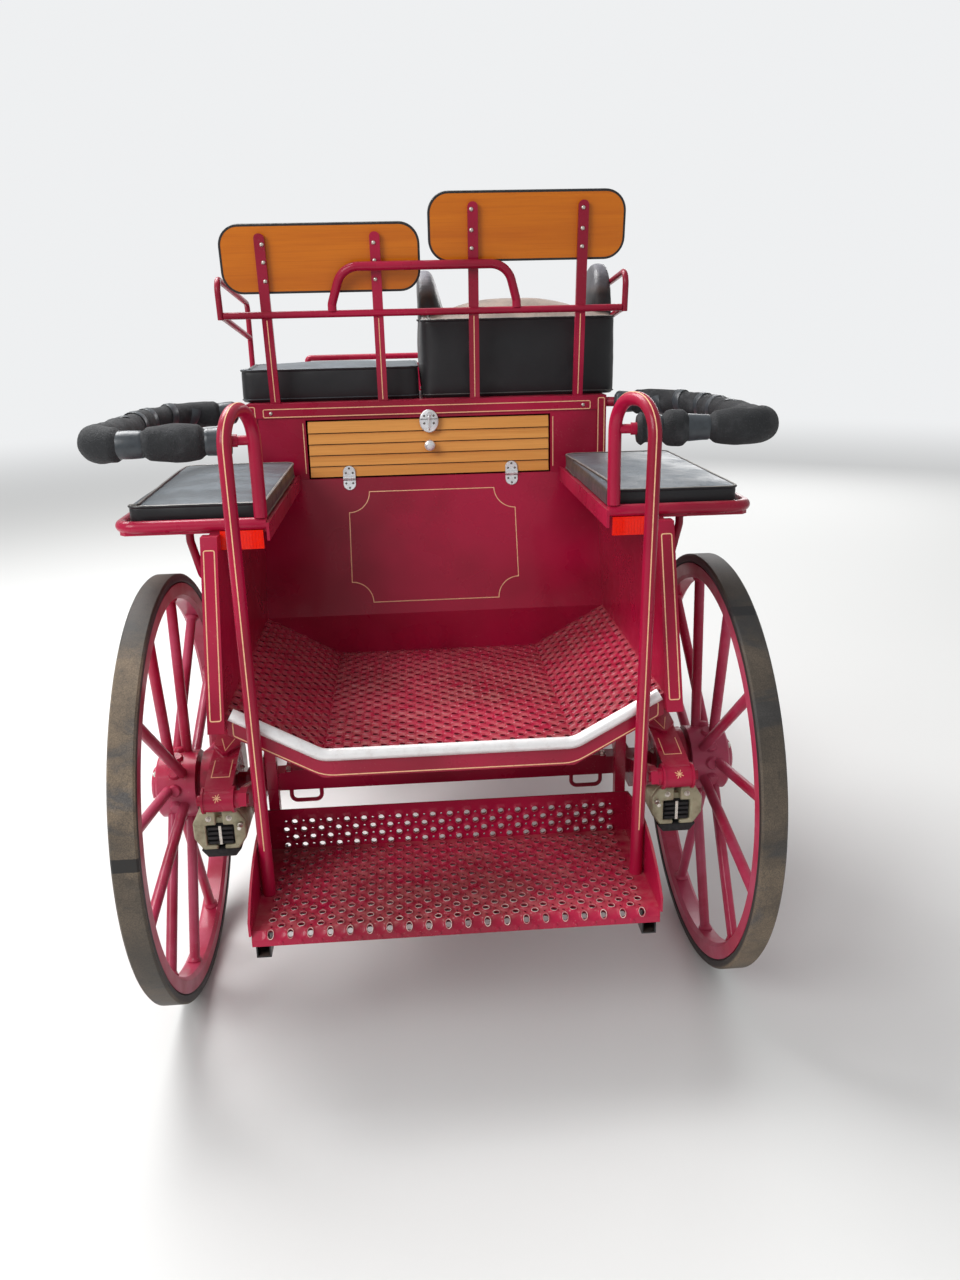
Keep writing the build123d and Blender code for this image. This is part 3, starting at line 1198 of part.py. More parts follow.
def brake_pedal():
    """Foot pedal on its arm at the driver's right foot."""
    y = TOE_Y - PEDAL_BEHIND_TOE
    pad_y = y + PEDAL_FOOT_L
    arm = prism_x([(y, BODY_Z + FOOT_PLATE_T), (y + PEDAL_FOOT_L, BODY_Z + FOOT_PLATE_T),
                   (pad_y + PEDAL_PAD_T, PEDAL_PAD_Z + PEDAL_PAD_T), (pad_y, PEDAL_PAD_Z + PEDAL_PAD_T)],
                  PEDAL_X - PEDAL_ARM_W / 2, PEDAL_X + PEDAL_ARM_W / 2)
    pad = block(PEDAL_X - PEDAL_PAD_W / 2, PEDAL_X + PEDAL_PAD_W / 2, pad_y - PEDAL_PAD_T, pad_y,
                PEDAL_PAD_Z, PEDAL_PAD_Z + PEDAL_PAD_H)
    return arm + pad


def reflector():
    """Right reflector block under the seat's rear tube."""
    top = SEAT_Z - SEAT_TUBE_R
    return block(REFLECTOR_X, REFLECTOR_X + REFLECTOR_W, SEAT_REAR_Y - REFLECTOR_T, SEAT_REAR_Y,
                 top - REFLECTOR_H, top)


keep("foot_well", foot_well())
keep("dash_rail", dash_rail())
keep("brake_pedal", brake_pedal())
keep("reflectors", both_sides(reflector()))

os.makedirs("parts", exist_ok=True)
for node, shape in pieces.items():
    export_step(shape, f"parts/{node}.step")
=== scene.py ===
import json
import math
import bmesh
import bpy
import mathutils
from mathutils import Matrix, Vector
from mathutils.bvhtree import BVHTree

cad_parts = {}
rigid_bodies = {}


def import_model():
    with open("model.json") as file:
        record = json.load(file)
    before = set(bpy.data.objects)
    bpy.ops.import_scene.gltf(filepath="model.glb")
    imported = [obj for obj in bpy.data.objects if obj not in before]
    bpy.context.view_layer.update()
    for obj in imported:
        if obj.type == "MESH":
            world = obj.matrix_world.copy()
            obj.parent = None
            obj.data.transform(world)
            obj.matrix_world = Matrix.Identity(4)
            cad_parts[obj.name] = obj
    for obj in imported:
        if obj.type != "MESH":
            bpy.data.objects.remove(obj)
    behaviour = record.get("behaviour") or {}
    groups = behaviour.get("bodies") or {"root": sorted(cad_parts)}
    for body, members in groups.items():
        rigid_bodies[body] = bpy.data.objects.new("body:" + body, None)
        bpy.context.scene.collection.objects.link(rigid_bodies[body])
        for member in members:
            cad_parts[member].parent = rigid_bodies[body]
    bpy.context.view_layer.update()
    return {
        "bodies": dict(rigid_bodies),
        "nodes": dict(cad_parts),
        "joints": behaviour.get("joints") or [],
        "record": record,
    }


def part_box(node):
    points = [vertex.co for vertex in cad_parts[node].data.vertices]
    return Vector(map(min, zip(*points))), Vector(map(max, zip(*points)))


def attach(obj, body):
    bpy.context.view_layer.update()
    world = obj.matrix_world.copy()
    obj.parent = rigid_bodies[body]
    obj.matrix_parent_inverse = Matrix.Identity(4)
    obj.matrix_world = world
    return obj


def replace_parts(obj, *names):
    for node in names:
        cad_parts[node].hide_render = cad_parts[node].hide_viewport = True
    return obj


# Looks of the marathon carriage, in metres. +Y is forward, +X to the right, +Z up.
# AXLE_Y is the rear axle line; places on the carriage are given from that line, as in the part's source.
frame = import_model()
NODES = frame["nodes"]
AXLE_Y = (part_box("rear_wheel_left")[0].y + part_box("rear_wheel_left")[1].y) / 2

CAMERA_PLACE = (-0.061, -2.221, 1.542)
CAMERA_YAW = 0.067
CAMERA_PITCH = 0.311
CAMERA_ROLL = -0.0232
CAMERA_LENS = 28.125
SENSOR = 36.0


def at(x, y, z):
    """A place given from the rear axle line, in the object's frame."""
    return Vector((x, y + AXLE_Y, z))


# Camera, floor and light
def make_camera():
    data = bpy.data.cameras.new("camera")
    data.lens = CAMERA_LENS
    data.sensor_width = SENSOR
    camera = bpy.data.objects.new("camera", data)
    bpy.context.scene.collection.objects.link(camera)
    cos_p = math.cos(CAMERA_PITCH)
    ahead = Vector((math.sin(CAMERA_YAW) * cos_p, math.cos(CAMERA_YAW) * cos_p, -math.sin(CAMERA_PITCH)))
    right = Vector((math.cos(CAMERA_YAW), -math.sin(CAMERA_YAW), 0))
    up = right.cross(ahead)
    cos_r, sin_r = math.cos(CAMERA_ROLL), math.sin(CAMERA_ROLL)
    axes = Matrix((right * cos_r + up * sin_r, up * cos_r - right * sin_r, -ahead)).transposed().to_4x4()
    camera.matrix_world = Matrix.Translation(at(*CAMERA_PLACE)) @ axes
    bpy.context.scene.camera = camera


BACKDROP = (0.86, 0.87, 0.88, 1)
FLOOR = (0.72, 0.72, 0.71, 1)
SKY_STRENGTH = 0.62
SKY_IN_GLOSS = 0.60
FLOOR_HALF = 60.0
FADE_FROM = 4.5
FADE_TO = 13.0


class Nodes:
    """Short ways to add and join shader nodes."""

    def __init__(self, tree):
        self.tree = tree
        tree.nodes.clear()

    def add(self, kind, **values):
        node = self.tree.nodes.new(kind)
        for name, value in values.items():
            setattr(node, name, value)
        return node

    def put(self, socket, value):
        if isinstance(value, bpy.types.NodeSocket):
            self.tree.links.new(value, socket)
        elif value is not None:
            socket.default_value = value

    def fill(self, node, **values):
        """Values or links for a node's inputs, named with _ for a space."""
        for name, value in values.items():
            self.put(node.inputs[name.replace("_", " ")], value)

    def math(self, operation, a, b=None, clamp=False):
        node = self.add("ShaderNodeMath", operation=operation, use_clamp=clamp)
        self.put(node.inputs[0], a)
        self.put(node.inputs[1], b)
        return node.outputs[0]

    def times(self, a, b):
        return self.math("MULTIPLY", a, b)

    def reach(self, a, b):
        """Length of the vector (a, b)."""
        return self.math("SQRT", self.math("ADD", self.times(a, a), self.times(b, b)))

    def mix(self, share, a, b):
        node = self.add("ShaderNodeMix", data_type="RGBA")
        for name, value in (("Factor_Float", share), ("A_Color", a), ("B_Color", b)):
            self.put(next(s for s in node.inputs if s.identifier == name), value)
        return next(s for s in node.outputs if s.identifier == "Result_Color")

    def noise(self, vector, scale, detail=3.0, roughness=0.5, distortion=0.0):
        node = self.add("ShaderNodeTexNoise")
        self.fill(node, Vector=vector, Scale=scale, Detail=detail, Roughness=roughness, Distortion=distortion)
        return node.outputs["Fac"]

    def cells(self, vector, scale, feature="F1"):
        node = self.add("ShaderNodeTexVoronoi", feature=feature)
        self.fill(node, Vector=vector, Scale=scale)
        return node.outputs["Distance"]

    def span(self, value, low, high, to_low=0.0, to_high=1.0):
        """How far the value has come from low to high, eased, on the way from to_low to to_high."""
        node = self.add("ShaderNodeMapRange", interpolation_type="SMOOTHSTEP")
        self.fill(node, Value=value, From_Min=low, From_Max=high, To_Min=to_low, To_Max=to_high)
        return node.outputs["Result"]

    def place(self, offset=(0, 0, 0), scale=(1, 1, 1)):
        """Object coordinates less an offset, then scaled."""
        node = self.add("ShaderNodeMapping")
        self.fill(node, Vector=self.add("ShaderNodeTexCoord").outputs["Object"],
                  Location=[-o * s for o, s in zip(offset, scale)], Scale=scale)
        return node.outputs["Vector"]

    def split(self, vector):
        node = self.add("ShaderNodeSeparateXYZ")
        self.put(node.inputs[0], vector)
        return node.outputs

    def up(self):
        """Height part of the surface's own direction."""
        return self.split(self.add("ShaderNodeNewGeometry").outputs["Normal"])[2]

    def dress(self, surface, colour, roughness, height, strength, distance):
        """Joins colour, roughness and a bump from a height to the shader."""
        bump = self.add("ShaderNodeBump")
        self.fill(bump, Strength=strength, Distance=distance, Height=height)
        self.fill(surface, Base_Color=colour, Roughness=roughness, Normal=bump.outputs["Normal"])


def new_material(name, **constants):
    """A material with a Principled surface; the constants are set on its own sockets."""
    made = bpy.data.materials.new(name)
    made.use_nodes = True
    nodes = Nodes(made.node_tree)
    surface = nodes.add("ShaderNodeBsdfPrincipled")
    output = nodes.add("ShaderNodeOutputMaterial")
    nodes.put(output.inputs[0], surface.outputs[0])
    nodes.fill(surface, **constants)
    return made, nodes, surface


def make_stage():
    world = bpy.data.worlds.new("world")
    bpy.context.scene.world = world
    world.use_nodes = True
    nodes = Nodes(world.node_tree)
    path = nodes.add("ShaderNodeLightPath").outputs
    seen = nodes.math("MAXIMUM", path["Is Camera Ray"], path["Is Transmission Ray"])
    strength = nodes.span(path["Is Glossy Ray"], 0, 1, SKY_STRENGTH, SKY_IN_GLOSS)
    back = nodes.add("ShaderNodeBackground")
    nodes.fill(back, Color=BACKDROP, Strength=nodes.math("MAXIMUM", seen, strength))
    nodes.put(nodes.add("ShaderNodeOutputWorld").inputs[0], back.outputs[0])
    bpy.ops.mesh.primitive_plane_add(size=2 * FLOOR_HALF, location=(0, 0, -0.0005))
    floor = bpy.context.object
    floor.name = "floor"
    material, nodes, surface = new_material("floor", Roughness=0.9, Base_Color=FLOOR)
    output = next(n for n in nodes.tree.nodes if n.type == "OUTPUT_MATERIAL")
    where = nodes.add("ShaderNodeVectorMath", operation="LENGTH")
    nodes.put(where.inputs[0], nodes.place())
    far = nodes.span(where.outputs["Value"], FADE_FROM, FADE_TO)
    camera_ray = nodes.add("ShaderNodeLightPath").outputs["Is Camera Ray"]
    glow = nodes.add("ShaderNodeEmission")
    nodes.fill(glow, Color=BACKDROP)
    blend = nodes.add("ShaderNodeMixShader")
    for socket, value in zip(blend.inputs, (nodes.times(far, camera_ray), surface.outputs[0], glow.outputs[0])):
        nodes.put(socket, value)
    nodes.put(output.inputs[0], blend.outputs[0])
    floor.data.materials.append(material)


def soft_lamp(name, place, target, size, power):
    data = bpy.data.lights.new(name, "AREA")
    data.shape = "RECTANGLE"
    data.size = data.size_y = size
    data.energy = power
    lamp = bpy.data.objects.new(name, data)
    bpy.context.scene.collection.objects.link(lamp)
    lamp.location = place
    lamp.rotation_mode = "QUATERNION"
    lamp.rotation_quaternion = (Vector(target) - Vector(place)).to_track_quat("-Z", "Y")


bpy.context.scene.view_settings.view_transform = "Standard"
make_camera()
make_stage()
# columns: name, place, what it points at, side of its square, power
for row in (("overhead", (-2.0, 0.6, 5.2), (0, -0.9, 0.6), 3.0, 330),
            ("side", (-3.4, -5.0, 3.8), (0, -1.4, 0.8), 2.6, 150),
            ("front", (3.5, 5.5, 3.2), (0, 0.4, 0.8), 3.0, 110)):
    soft_lamp(*row)

# Colours, as linear light
CRIMSON = (0.42, 0.0055, 0.046, 1)
# painted shade for the walls of the plates' holes
HOLE_SHADE = (0.030, 0.012, 0.010, 1)
CRIMSON_DEEP = (0.26, 0.0035, 0.024, 1)
DUST = (0.46, 0.33, 0.26, 1)
RUBBER = (0.018, 0.017, 0.016, 1)
TREAD_DUST = (0.33, 0.245, 0.165, 1)
TREAD_SCUFF = (0.135, 0.135, 0.140, 1)
# a paler pink laid in broad patches over the wheels' paint
WHEEL_PALE_PINK = (0.52, 0.105, 0.19, 1)
SPLICE_BLACK = (0.012, 0.012, 0.013, 1)
STEEL = (0.42, 0.40, 0.38, 1)
STEEL_BROWN = (0.16, 0.10, 0.07, 1)
HAT_GRIME = (0.075, 0.020, 0.018, 1)
CAST = (0.42, 0.395, 0.265, 1)
CAST_DIRT = (0.095, 0.085, 0.045, 1)
WOOD = (0.64, 0.175, 0.006, 1)
WOOD_DARK = (0.45, 0.092, 0.003, 1)
DOOR_WOOD = (0.80, 0.36, 0.085, 1)
DOOR_WOOD_DARK = (0.58, 0.20, 0.028, 1)
VINYL = (0.011, 0.011, 0.013, 1)
FOAM = (0.018, 0.019, 0.021, 1)
FOAM_WORN = (0.085, 0.088, 0.094, 1)
TAPE = (0.040, 0.048, 0.056, 1)
ALUMINIUM = (0.86, 0.85, 0.85, 1)
REFLECTOR = (1.0, 0.020, 0.002, 1)
REFLECTOR_DEEP = (0.86, 0.010, 0.002, 1)
STRIPE = (0.88, 0.52, 0.29, 1)
STRIPE_THIN = (0.55, 0.16, 0.10, 1)
WORN_RIM = (0.80, 0.70, 0.62, 1)
# painted sky reflection on the vinyl's up-facing areas
VINYL_SKY_REFLECTION = (0.185, 0.225, 0.260, 1)
# tan on the driver's seat where it faces up: partly dust, partly a painted sheen
VINYL_TAN_DUST_AND_SHEEN = (0.44, 0.345, 0.285, 1)
# painted grey sky sheen on the driver's seat's ears
EAR_SKY_SHEEN = (0.24, 0.245, 0.285, 1)
BLACK_PAINT = (0.013, 0.013, 0.014, 1)
PALE_WEAR = (0.45, 0.42, 0.38, 1)
TAPE_DARK = (0.016, 0.018, 0.021, 1)
MAT_DUST = (0.065, 0.056, 0.048, 1)
NOSING_DIRT = (0.50, 0.42, 0.40, 1)
BRIGHT = (0.78, 0.78, 0.79, 1)
PLATED = (0.84, 0.86, 0.88, 1)
SCREW = (0.16, 0.15, 0.14, 1)
WORN_STEEL = (0.66, 0.62, 0.56, 1)


REAR_R = 0.5
FRONT_R = 0.4
FRONT_AXLE_Y = 1.4
HAT_R = 0.076


def paint(name, light, dark, dusty=0.35, top_dust=0.35, chips=0.0, roughness=(0.24, 0.42), rims=None, pale_patches=0.0):
    """Gloss paint: uneven tone, specks of dust, and dust that has settled on what faces up.

    rims: where bare rims start and end along y, and how bare they are there; below zero, the worn mark darkens the
    holes' walls as painted shade.
    pale_patches: how much of a paler pink may lie in broad patches over the colour."""
    made, nodes, surface = new_material(name, Coat_Weight=0.15, Coat_Roughness=0.08, IOR=1.5, Specular_IOR_Level=0.28)
    here = nodes.place()
    tone = nodes.mix(nodes.span(nodes.noise(here, 2.6, 3), 0.35, 0.65), dark, light)
    patch = nodes.span(nodes.noise(here, 4.5, 4, 0.6), 0.42, 0.72)
    specks = nodes.span(nodes.noise(here, 160, 5, 0.7), 0.60, 0.70)
    grime = nodes.times(nodes.times(specks, patch), dusty)
    settled = nodes.times(nodes.span(nodes.up(), 0.55, 1.0), nodes.span(nodes.noise(here, 22, 6, 0.7), 0.3, 0.8))
    grime = nodes.math("ADD", grime, nodes.times(settled, top_dust), clamp=True)
    if pale_patches:
        # broad patches of a paler pink over the tone
        thin = nodes.span(nodes.noise(here, 3.2, 5, 0.65), 0.34, 0.66, 0.0, pale_patches)
        tone = nodes.mix(thin, tone, WHEEL_PALE_PINK)
    colour = nodes.mix(grime, tone, DUST)
    rough = nodes.span(nodes.noise(here, 9, 4), 0.3, 0.7, *roughness)
    if chips:
        chip = nodes.times(nodes.span(nodes.noise(here, 75, 3, 0.6), 0.69, 0.71), chips)
        colour = nodes.mix(chip, colour, STEEL_BROWN)
    if rims:
        worn = nodes.add("ShaderNodeAttribute", attribute_name="worn").outputs["Fac"]
        fade = nodes.span(nodes.split(here)[1], AXLE_Y + rims[0], AXLE_Y + rims[1], rims[2], rims[3])
        rub = nodes.span(nodes.noise(here, 55, 4, 0.6), 0.38, 0.62, 0.25, 1.0)
        bare = nodes.times(nodes.times(nodes.span(worn, 0.25, 0.9), rub), fade)
        colour = nodes.mix(bare, colour, WORN_RIM)
        # painted shade: where the worn mark is below zero, in the holes' walls, the colour is darkened
        colour = nodes.mix(nodes.span(worn, -0.45, 0.0, 0.85, 0.0), colour, HOLE_SHADE)
    nodes.dress(surface, colour,
                nodes.math("ADD", rough, nodes.times(grime, 0.4), clamp=True),
                nodes.noise(here, 210, 2), 0.06, 0.0006)
    return made


def metal(name, colour, stain, roughness=(0.2, 0.4), stained=0.5, metallic=1.0, scale=40):
    made, nodes, surface = new_material(name, Metallic=metallic)
    here = nodes.place()
    mask = nodes.times(nodes.span(nodes.noise(here, scale, 6, 0.7), 0.45, 0.75), stained)
    nodes.dress(surface, nodes.mix(mask, colour, stain),
                nodes.span(nodes.noise(here, scale * 2.5, 5), 0.3, 0.7, *roughness),
                nodes.noise(here, scale * 12, 3), 0.10, 0.0004)
    return made


def wood(name, light, dark, offset=(0, 0, 0)):
    """Orange varnish over a grain that runs along X."""
    made, nodes, surface = new_material(name, Coat_Weight=0.25, Coat_Roughness=0.08, IOR=1.5, Specular_IOR_Level=0.25)
    long_grain = nodes.place(offset, (1.3, 9.0, 26.0))
    fine_grain = nodes.place(offset, (6.0, 60.0, 260.0))
    broad = nodes.span(nodes.noise(long_grain, 1.0, 5, 0.6, 0.6), 0.30, 0.72)
    fine = nodes.span(nodes.noise(fine_grain, 1.0, 4, 0.6), 0.42, 0.75)
    colour = nodes.mix(nodes.times(broad, 0.45), light, dark)
    colour = nodes.mix(nodes.times(fine, 0.35), colour, dark)
    nodes.dress(surface, colour, nodes.span(fine, 0, 1, 0.3, 0.42), fine, 0.05, 0.0004)
    return made


def vinyl(name, dusty=0.7, tint=VINYL_SKY_REFLECTION, high=None):
    """Black grained vinyl, rubbed in patches and tinted where it faces up, by default with a painted sky reflection;
    high: a height and the tint above it, a painted sheen.
    """
    made, nodes, surface = new_material(name, IOR=1.5, Specular_IOR_Level=0.4, Sheen_Weight=0.08, Sheen_Roughness=0.5)
    here = nodes.place()
    grain = nodes.cells(here, 620)
    creases = nodes.noise(nodes.place((0, 0, 0), (1, 1, 1.6)), 26, 5, 0.6, 0.6)
    worn = nodes.span(nodes.noise(here, 11, 6, 0.65), 0.30, 0.72)
    fine = nodes.span(nodes.noise(here, 240, 4, 0.7), 0.35, 0.70)
    share = nodes.times(nodes.span(worn, 0, 1, 0.62, 1.0), nodes.span(fine, 0, 1, 0.75, 1.0))
    # the tint is laid in patches on what faces up; with the default tint it is a painted sky reflection
    grime = nodes.times(nodes.times(nodes.span(nodes.up(), 0.35, 0.95), share), dusty)
    if high:
        # above the given height the tint is a painted sheen, laid on every face
        above = nodes.span(nodes.split(here)[2], high[0], high[0] + 0.03)
        tint = nodes.mix(above, tint, high[1])
        grime = nodes.math("MAXIMUM", grime, nodes.times(nodes.times(above, share), 0.35))
    height = nodes.math("ADD", nodes.times(grain, 0.35), nodes.times(creases, 1.2))
    nodes.dress(surface, nodes.mix(grime, VINYL, tint), nodes.span(worn, 0, 1, 0.36, 0.52), height, 0.22, 0.0012)
    return made


def foam(name):
    """Closed-cell foam: fine pits and rubbed, greyer patches."""
    made, nodes, surface = new_material(name, IOR=1.4)
    here = nodes.place()
    rub = nodes.span(nodes.noise(here, 16, 5, 0.65), 0.48, 0.75, 0.0, 0.55)
    speck = nodes.span(nodes.noise(here, 330, 4, 0.8), 0.55, 0.70, 0.0, 0.85)
    rub = nodes.math("MAXIMUM", rub, nodes.times(speck, nodes.span(nodes.noise(here, 9, 3), 0.35, 0.6, 0.4, 1.0)))
    pits = nodes.cells(here, 480)
    height = nodes.math("ADD", pits, nodes.times(nodes.noise(here, 60, 4, 0.6), 1.5))
    nodes.dress(surface, nodes.mix(rub, FOAM, FOAM_WORN), nodes.span(rub, 0, 1, 0.75, 0.92), height, 0.6, 0.0016)
    return made


def tyre(name, radius, centre, splice_deg=None, dusty=((-90, 0.75), (90, 0.75))):
    """Solid rubber: grit on the tread, darker walls, and a black band where the ends are joined.

    dusty: how much dust the tread holds at each angle from the rear, upwards."""
    made, nodes, surface = new_material(name, IOR=1.45)
    here = nodes.place(at(*centre))
    _, y, z = nodes.split(here)
    reach = nodes.reach(y, z)
    tread = nodes.span(reach, radius - 0.010, radius - 0.001)
    patch = nodes.span(nodes.noise(here, 6, 5, 0.6), 0.36, 0.62, 0.45, 1.0)
    grit = nodes.span(nodes.noise(here, 380, 5, 0.75), 0.30, 0.72, 0.35, 1.0)
    dust = nodes.times(nodes.times(patch, grit), nodes.span(tread, 0, 1, 0.10, 1.0))
    behind = nodes.math("ARCTAN2", z, nodes.times(y, -1.0))
    behind = nodes.math("ADD", behind, nodes.span(nodes.noise(here, 14, 4, 0.6), 0.3, 0.7, -0.05, 0.05))
    stops = [(math.radians(turn), level) for turn, level in dusty]
    level = nodes.span(behind, stops[0][0], stops[1][0], stops[0][1], stops[1][1])
    for (low, less), (high, more) in zip(stops[1:], stops[2:]):
        level = nodes.math("ADD", level, nodes.span(behind, low, high, 0.0, more - less))
    dust = nodes.times(dust, level)
    scuff = nodes.span(nodes.noise(nodes.place(at(*centre), (1, 2.2, 2.2)), 3.4, 5, 0.65, 0.6), 0.50, 0.62, 0.0, 0.85)
    colour = nodes.mix(dust, RUBBER, nodes.mix(scuff, TREAD_DUST, TREAD_SCUFF))
    if splice_deg is not None:
        turn = nodes.math("ARCTAN2", z, y)
        off = nodes.math("ABSOLUTE", nodes.math("SUBTRACT", turn, math.radians(splice_deg)))
        ragged = nodes.times(nodes.noise(here, 45, 3), 0.008)
        band = nodes.span(nodes.math("ADD", off, ragged), 0.030, 0.033, 0.92, 0.0)
        colour = nodes.mix(band, colour, SPLICE_BLACK)
    cracks = nodes.cells(nodes.place(), 70, "DISTANCE_TO_EDGE")
    cracks = nodes.times(nodes.span(cracks, 0.0, 0.03, 1.0, 0.0), 0.35)
    height = nodes.math("SUBTRACT", nodes.noise(here, 500, 4, 0.7), cracks)
    nodes.dress(surface, nodes.mix(cracks, colour, SPLICE_BLACK), nodes.span(dust, 0, 1, 0.55, 0.9), height, 0.28,
                0.0010)
    return made


def lens(name):
    """Red reflector with a fine prism pattern behind a clear face."""
    made, nodes, surface = new_material(name, Coat_Weight=0.25, Coat_Roughness=0.03, IOR=1.5, Specular_IOR_Level=0.25)
    prism = nodes.cells(nodes.place(), 260)
    nodes.dress(surface, nodes.mix(nodes.span(prism, 0.1, 0.7), REFLECTOR, REFLECTOR_DEEP),
                nodes.span(prism, 0, 1, 0.18, 0.35), prism, 0.25, 0.0008)
    return made


def disc(name, centre):
    """Brake disc: painted hat, grimy in patches, and a rubbed steel ring outside it."""
    made, nodes, surface = new_material(name, IOR=1.5, Specular_IOR_Level=0.3)
    here = nodes.place(at(*centre))
    _, y, z = nodes.split(here)
    reach = nodes.reach(y, z)
    ring = nodes.span(reach, HAT_R + 0.002, HAT_R + 0.004)
    grime = nodes.span(nodes.noise(here, 24, 5, 0.65), 0.35, 0.75, 0.1, 0.8)
    hat = nodes.mix(grime, CRIMSON, HAT_GRIME)
    rust = nodes.span(nodes.noise(here, 60, 6, 0.7), 0.45, 0.75, 0.0, 0.7)
    nodes.put(surface.inputs["Metallic"], ring)
    nodes.dress(surface, nodes.mix(ring, hat, nodes.mix(rust, STEEL, STEEL_BROWN)),
                nodes.span(nodes.noise(here, 90, 4), 0.3, 0.7, 0.32, 0.5),
                nodes.noise(here, 300, 3), 0.10, 0.0004)
    return made


# height over the driver's cushion's foot above which its ears carry a painted grey sheen
GREY_FROM = 0.262
# how much dust each rear tread holds at each angle
LEFT_TREAD = ((-60, 0.34), (-20, 0.38), (5, 0.46), (9, 1.0), (52, 1.0), (66, 0.26), (170, 0.34))
RIGHT_TREAD = ((-70, 0.34), (-42, 0.85), (-8, 0.66), (12, 0.42), (46, 0.36), (56, 0.14), (170, 0.34))
MATERIALS = {
    "body_paint": paint("body_paint", CRIMSON, CRIMSON_DEEP, 0.25, 0.16),
    "wheel_paint": paint("wheel_paint", CRIMSON, CRIMSON_DEEP, 0.6, 0.0, 0.4, (0.3, 0.5), pale_patches=0.55),
    "step_plate": paint("step_plate", CRIMSON, CRIMSON_DEEP, 0.50, 0.30, 0.0, (0.22, 0.40),
                        (-0.44, -0.27, 1.0, 0.22)),
    "perforated_plate": paint("perforated_plate", CRIMSON, CRIMSON_DEEP, 0.50, 0.30, 0.0, (0.22, 0.40),
                              (-0.25, 0.15, 0.22, 0.10)),
    "bare_steel": metal("bare_steel", STEEL, STEEL_BROWN, (0.3, 0.5), 0.7),
    "cast_grey": metal("cast_grey", CAST, CAST_DIRT, (0.35, 0.6), 0.75, 0.4, 17),
    "varnished_wood": wood("varnished_wood", WOOD, WOOD_DARK),
    "door_wood": wood("door_wood", DOOR_WOOD, DOOR_WOOD_DARK, (0.3, 0, 0)),
    "vinyl": vinyl("vinyl"),
    "driver_vinyl": vinyl("driver_vinyl", 0.9, VINYL_TAN_DUST_AND_SHEEN, (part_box("bench_cushion_right")[0].z + GREY_FROM, EAR_SKY_SHEEN)),
    "worn_piping": vinyl("worn_piping", 0.75, PALE_WEAR),
    "tape": metal("tape", TAPE, TAPE_DARK, (0.30, 0.46), 0.6, 0.0, 60),
    "foam_sleeve": foam("foam_sleeve"),
    "buffer_rubber": metal("buffer_rubber", BLACK_PAINT, RUBBER, (0.55, 0.8), 0.8, 0.0),
    "mat_rubber": metal("mat_rubber", BLACK_PAINT, MAT_DUST, (0.55, 0.85), 0.6, 0.0, 24),
    "black_steel": paint("black_steel", BLACK_PAINT, BLACK_PAINT, 0.5, 0.3),
    "nosing_metal": metal("nosing_metal", ALUMINIUM, NOSING_DIRT, (0.32, 0.5), 0.35, 0.25),
    "bright_steel": metal("bright_steel", BRIGHT, STEEL, (0.15, 0.3), 0.5),
    "plated": metal("plated", PLATED, PALE_WEAR, (0.22, 0.38), 0.35, 0.55),
    "screw_steel": metal("screw_steel", SCREW, STEEL_BROWN, (0.3, 0.5), 0.4, 0.8, 120),
    "worn_steel": metal("worn_steel", WORN_STEEL, STEEL_BROWN, (0.25, 0.45), 0.4, 0.9, 120),
    "reflector_red": lens("reflector_red"),
    "stripe": metal("stripe", STRIPE, STRIPE_THIN, (0.35, 0.5), 0.5, 0.0, 90),
    "rubber_tyre": tyre("rubber_tyre_front", FRONT_R, (0, FRONT_AXLE_Y, FRONT_R)),
    "tyre_left": tyre("rubber_tyre_left", REAR_R, (0, 0, REAR_R), 172.5, LEFT_TREAD),
    "painted_disc": disc("painted_disc", (0, 0, REAR_R)),
    "tyre_right": tyre("rubber_tyre_right", REAR_R, (0, 0, REAR_R), 118, RIGHT_TREAD),
}
# nodes whose finish differs from their slot's usual one
OWN_FINISH = {"rear_tyre_left": "tyre_left", "rear_tyre_right": "tyre_right", "locker_door": "door_wood",
              "brake_disc_left": "painted_disc", "brake_disc_right": "painted_disc"}
for row in frame["record"]["subparts"]:
    mesh = NODES[row["node"]].data
    mesh.materials.clear()
    mesh.materials.append(MATERIALS[OWN_FINISH.get(row["node"], row["material_slot"])])


# Helpers for meshes
SIDES = (("left", -1), ("right", 1))
ARC_STEP_DEG = 9.0


def link_mesh(bag, name, material, slot, body, smooth, sharp_deg):
    """A new piece that rides on a body; returns the object."""
    mesh = bpy.data.meshes.new(name)
    mesh.from_pydata([tuple(v) for v in bag.verts], [], bag.faces)
    mesh.update()
    # the worn mark: bare wear above zero, painted shade in the holes' walls below zero
    if any(bag.marks):
        mesh.attributes.new("worn", "FLOAT", "POINT").data.foreach_set("value", bag.marks)
    if smooth:
        mesh.shade_smooth()
        mesh.set_sharp_from_angle(angle=math.radians(sharp_deg))
    made = bpy.data.objects.new(name, mesh)
    bpy.context.scene.collection.objects.link(made)
    mesh.materials.append(material)
    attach(made, body)
    return made


def arc_corner(before, corner, after, radius):
    """Points of the arc that rounds a corner."""
    a = (before - corner).normalized()
    b = (after - corner).normalized()
    turn = math.pi - a.angle(b)
    if turn < 1e-4 or radius <= 0:
        return [corner]
    half_angle = a.angle(b) / 2
    cut = radius / math.tan(half_angle)
    centre = corner + (a + b).normalized() * (radius / math.sin(half_angle))
    start = corner + a * cut - centre
    end = corner + b * cut - centre
    count = max(2, int(math.degrees(turn) / ARC_STEP_DEG) + 1)
    axis = start.cross(end).normalized()
    return [centre + Matrix.Rotation(turn * i / count, 3, axis) @ start for i in range(count + 1)]


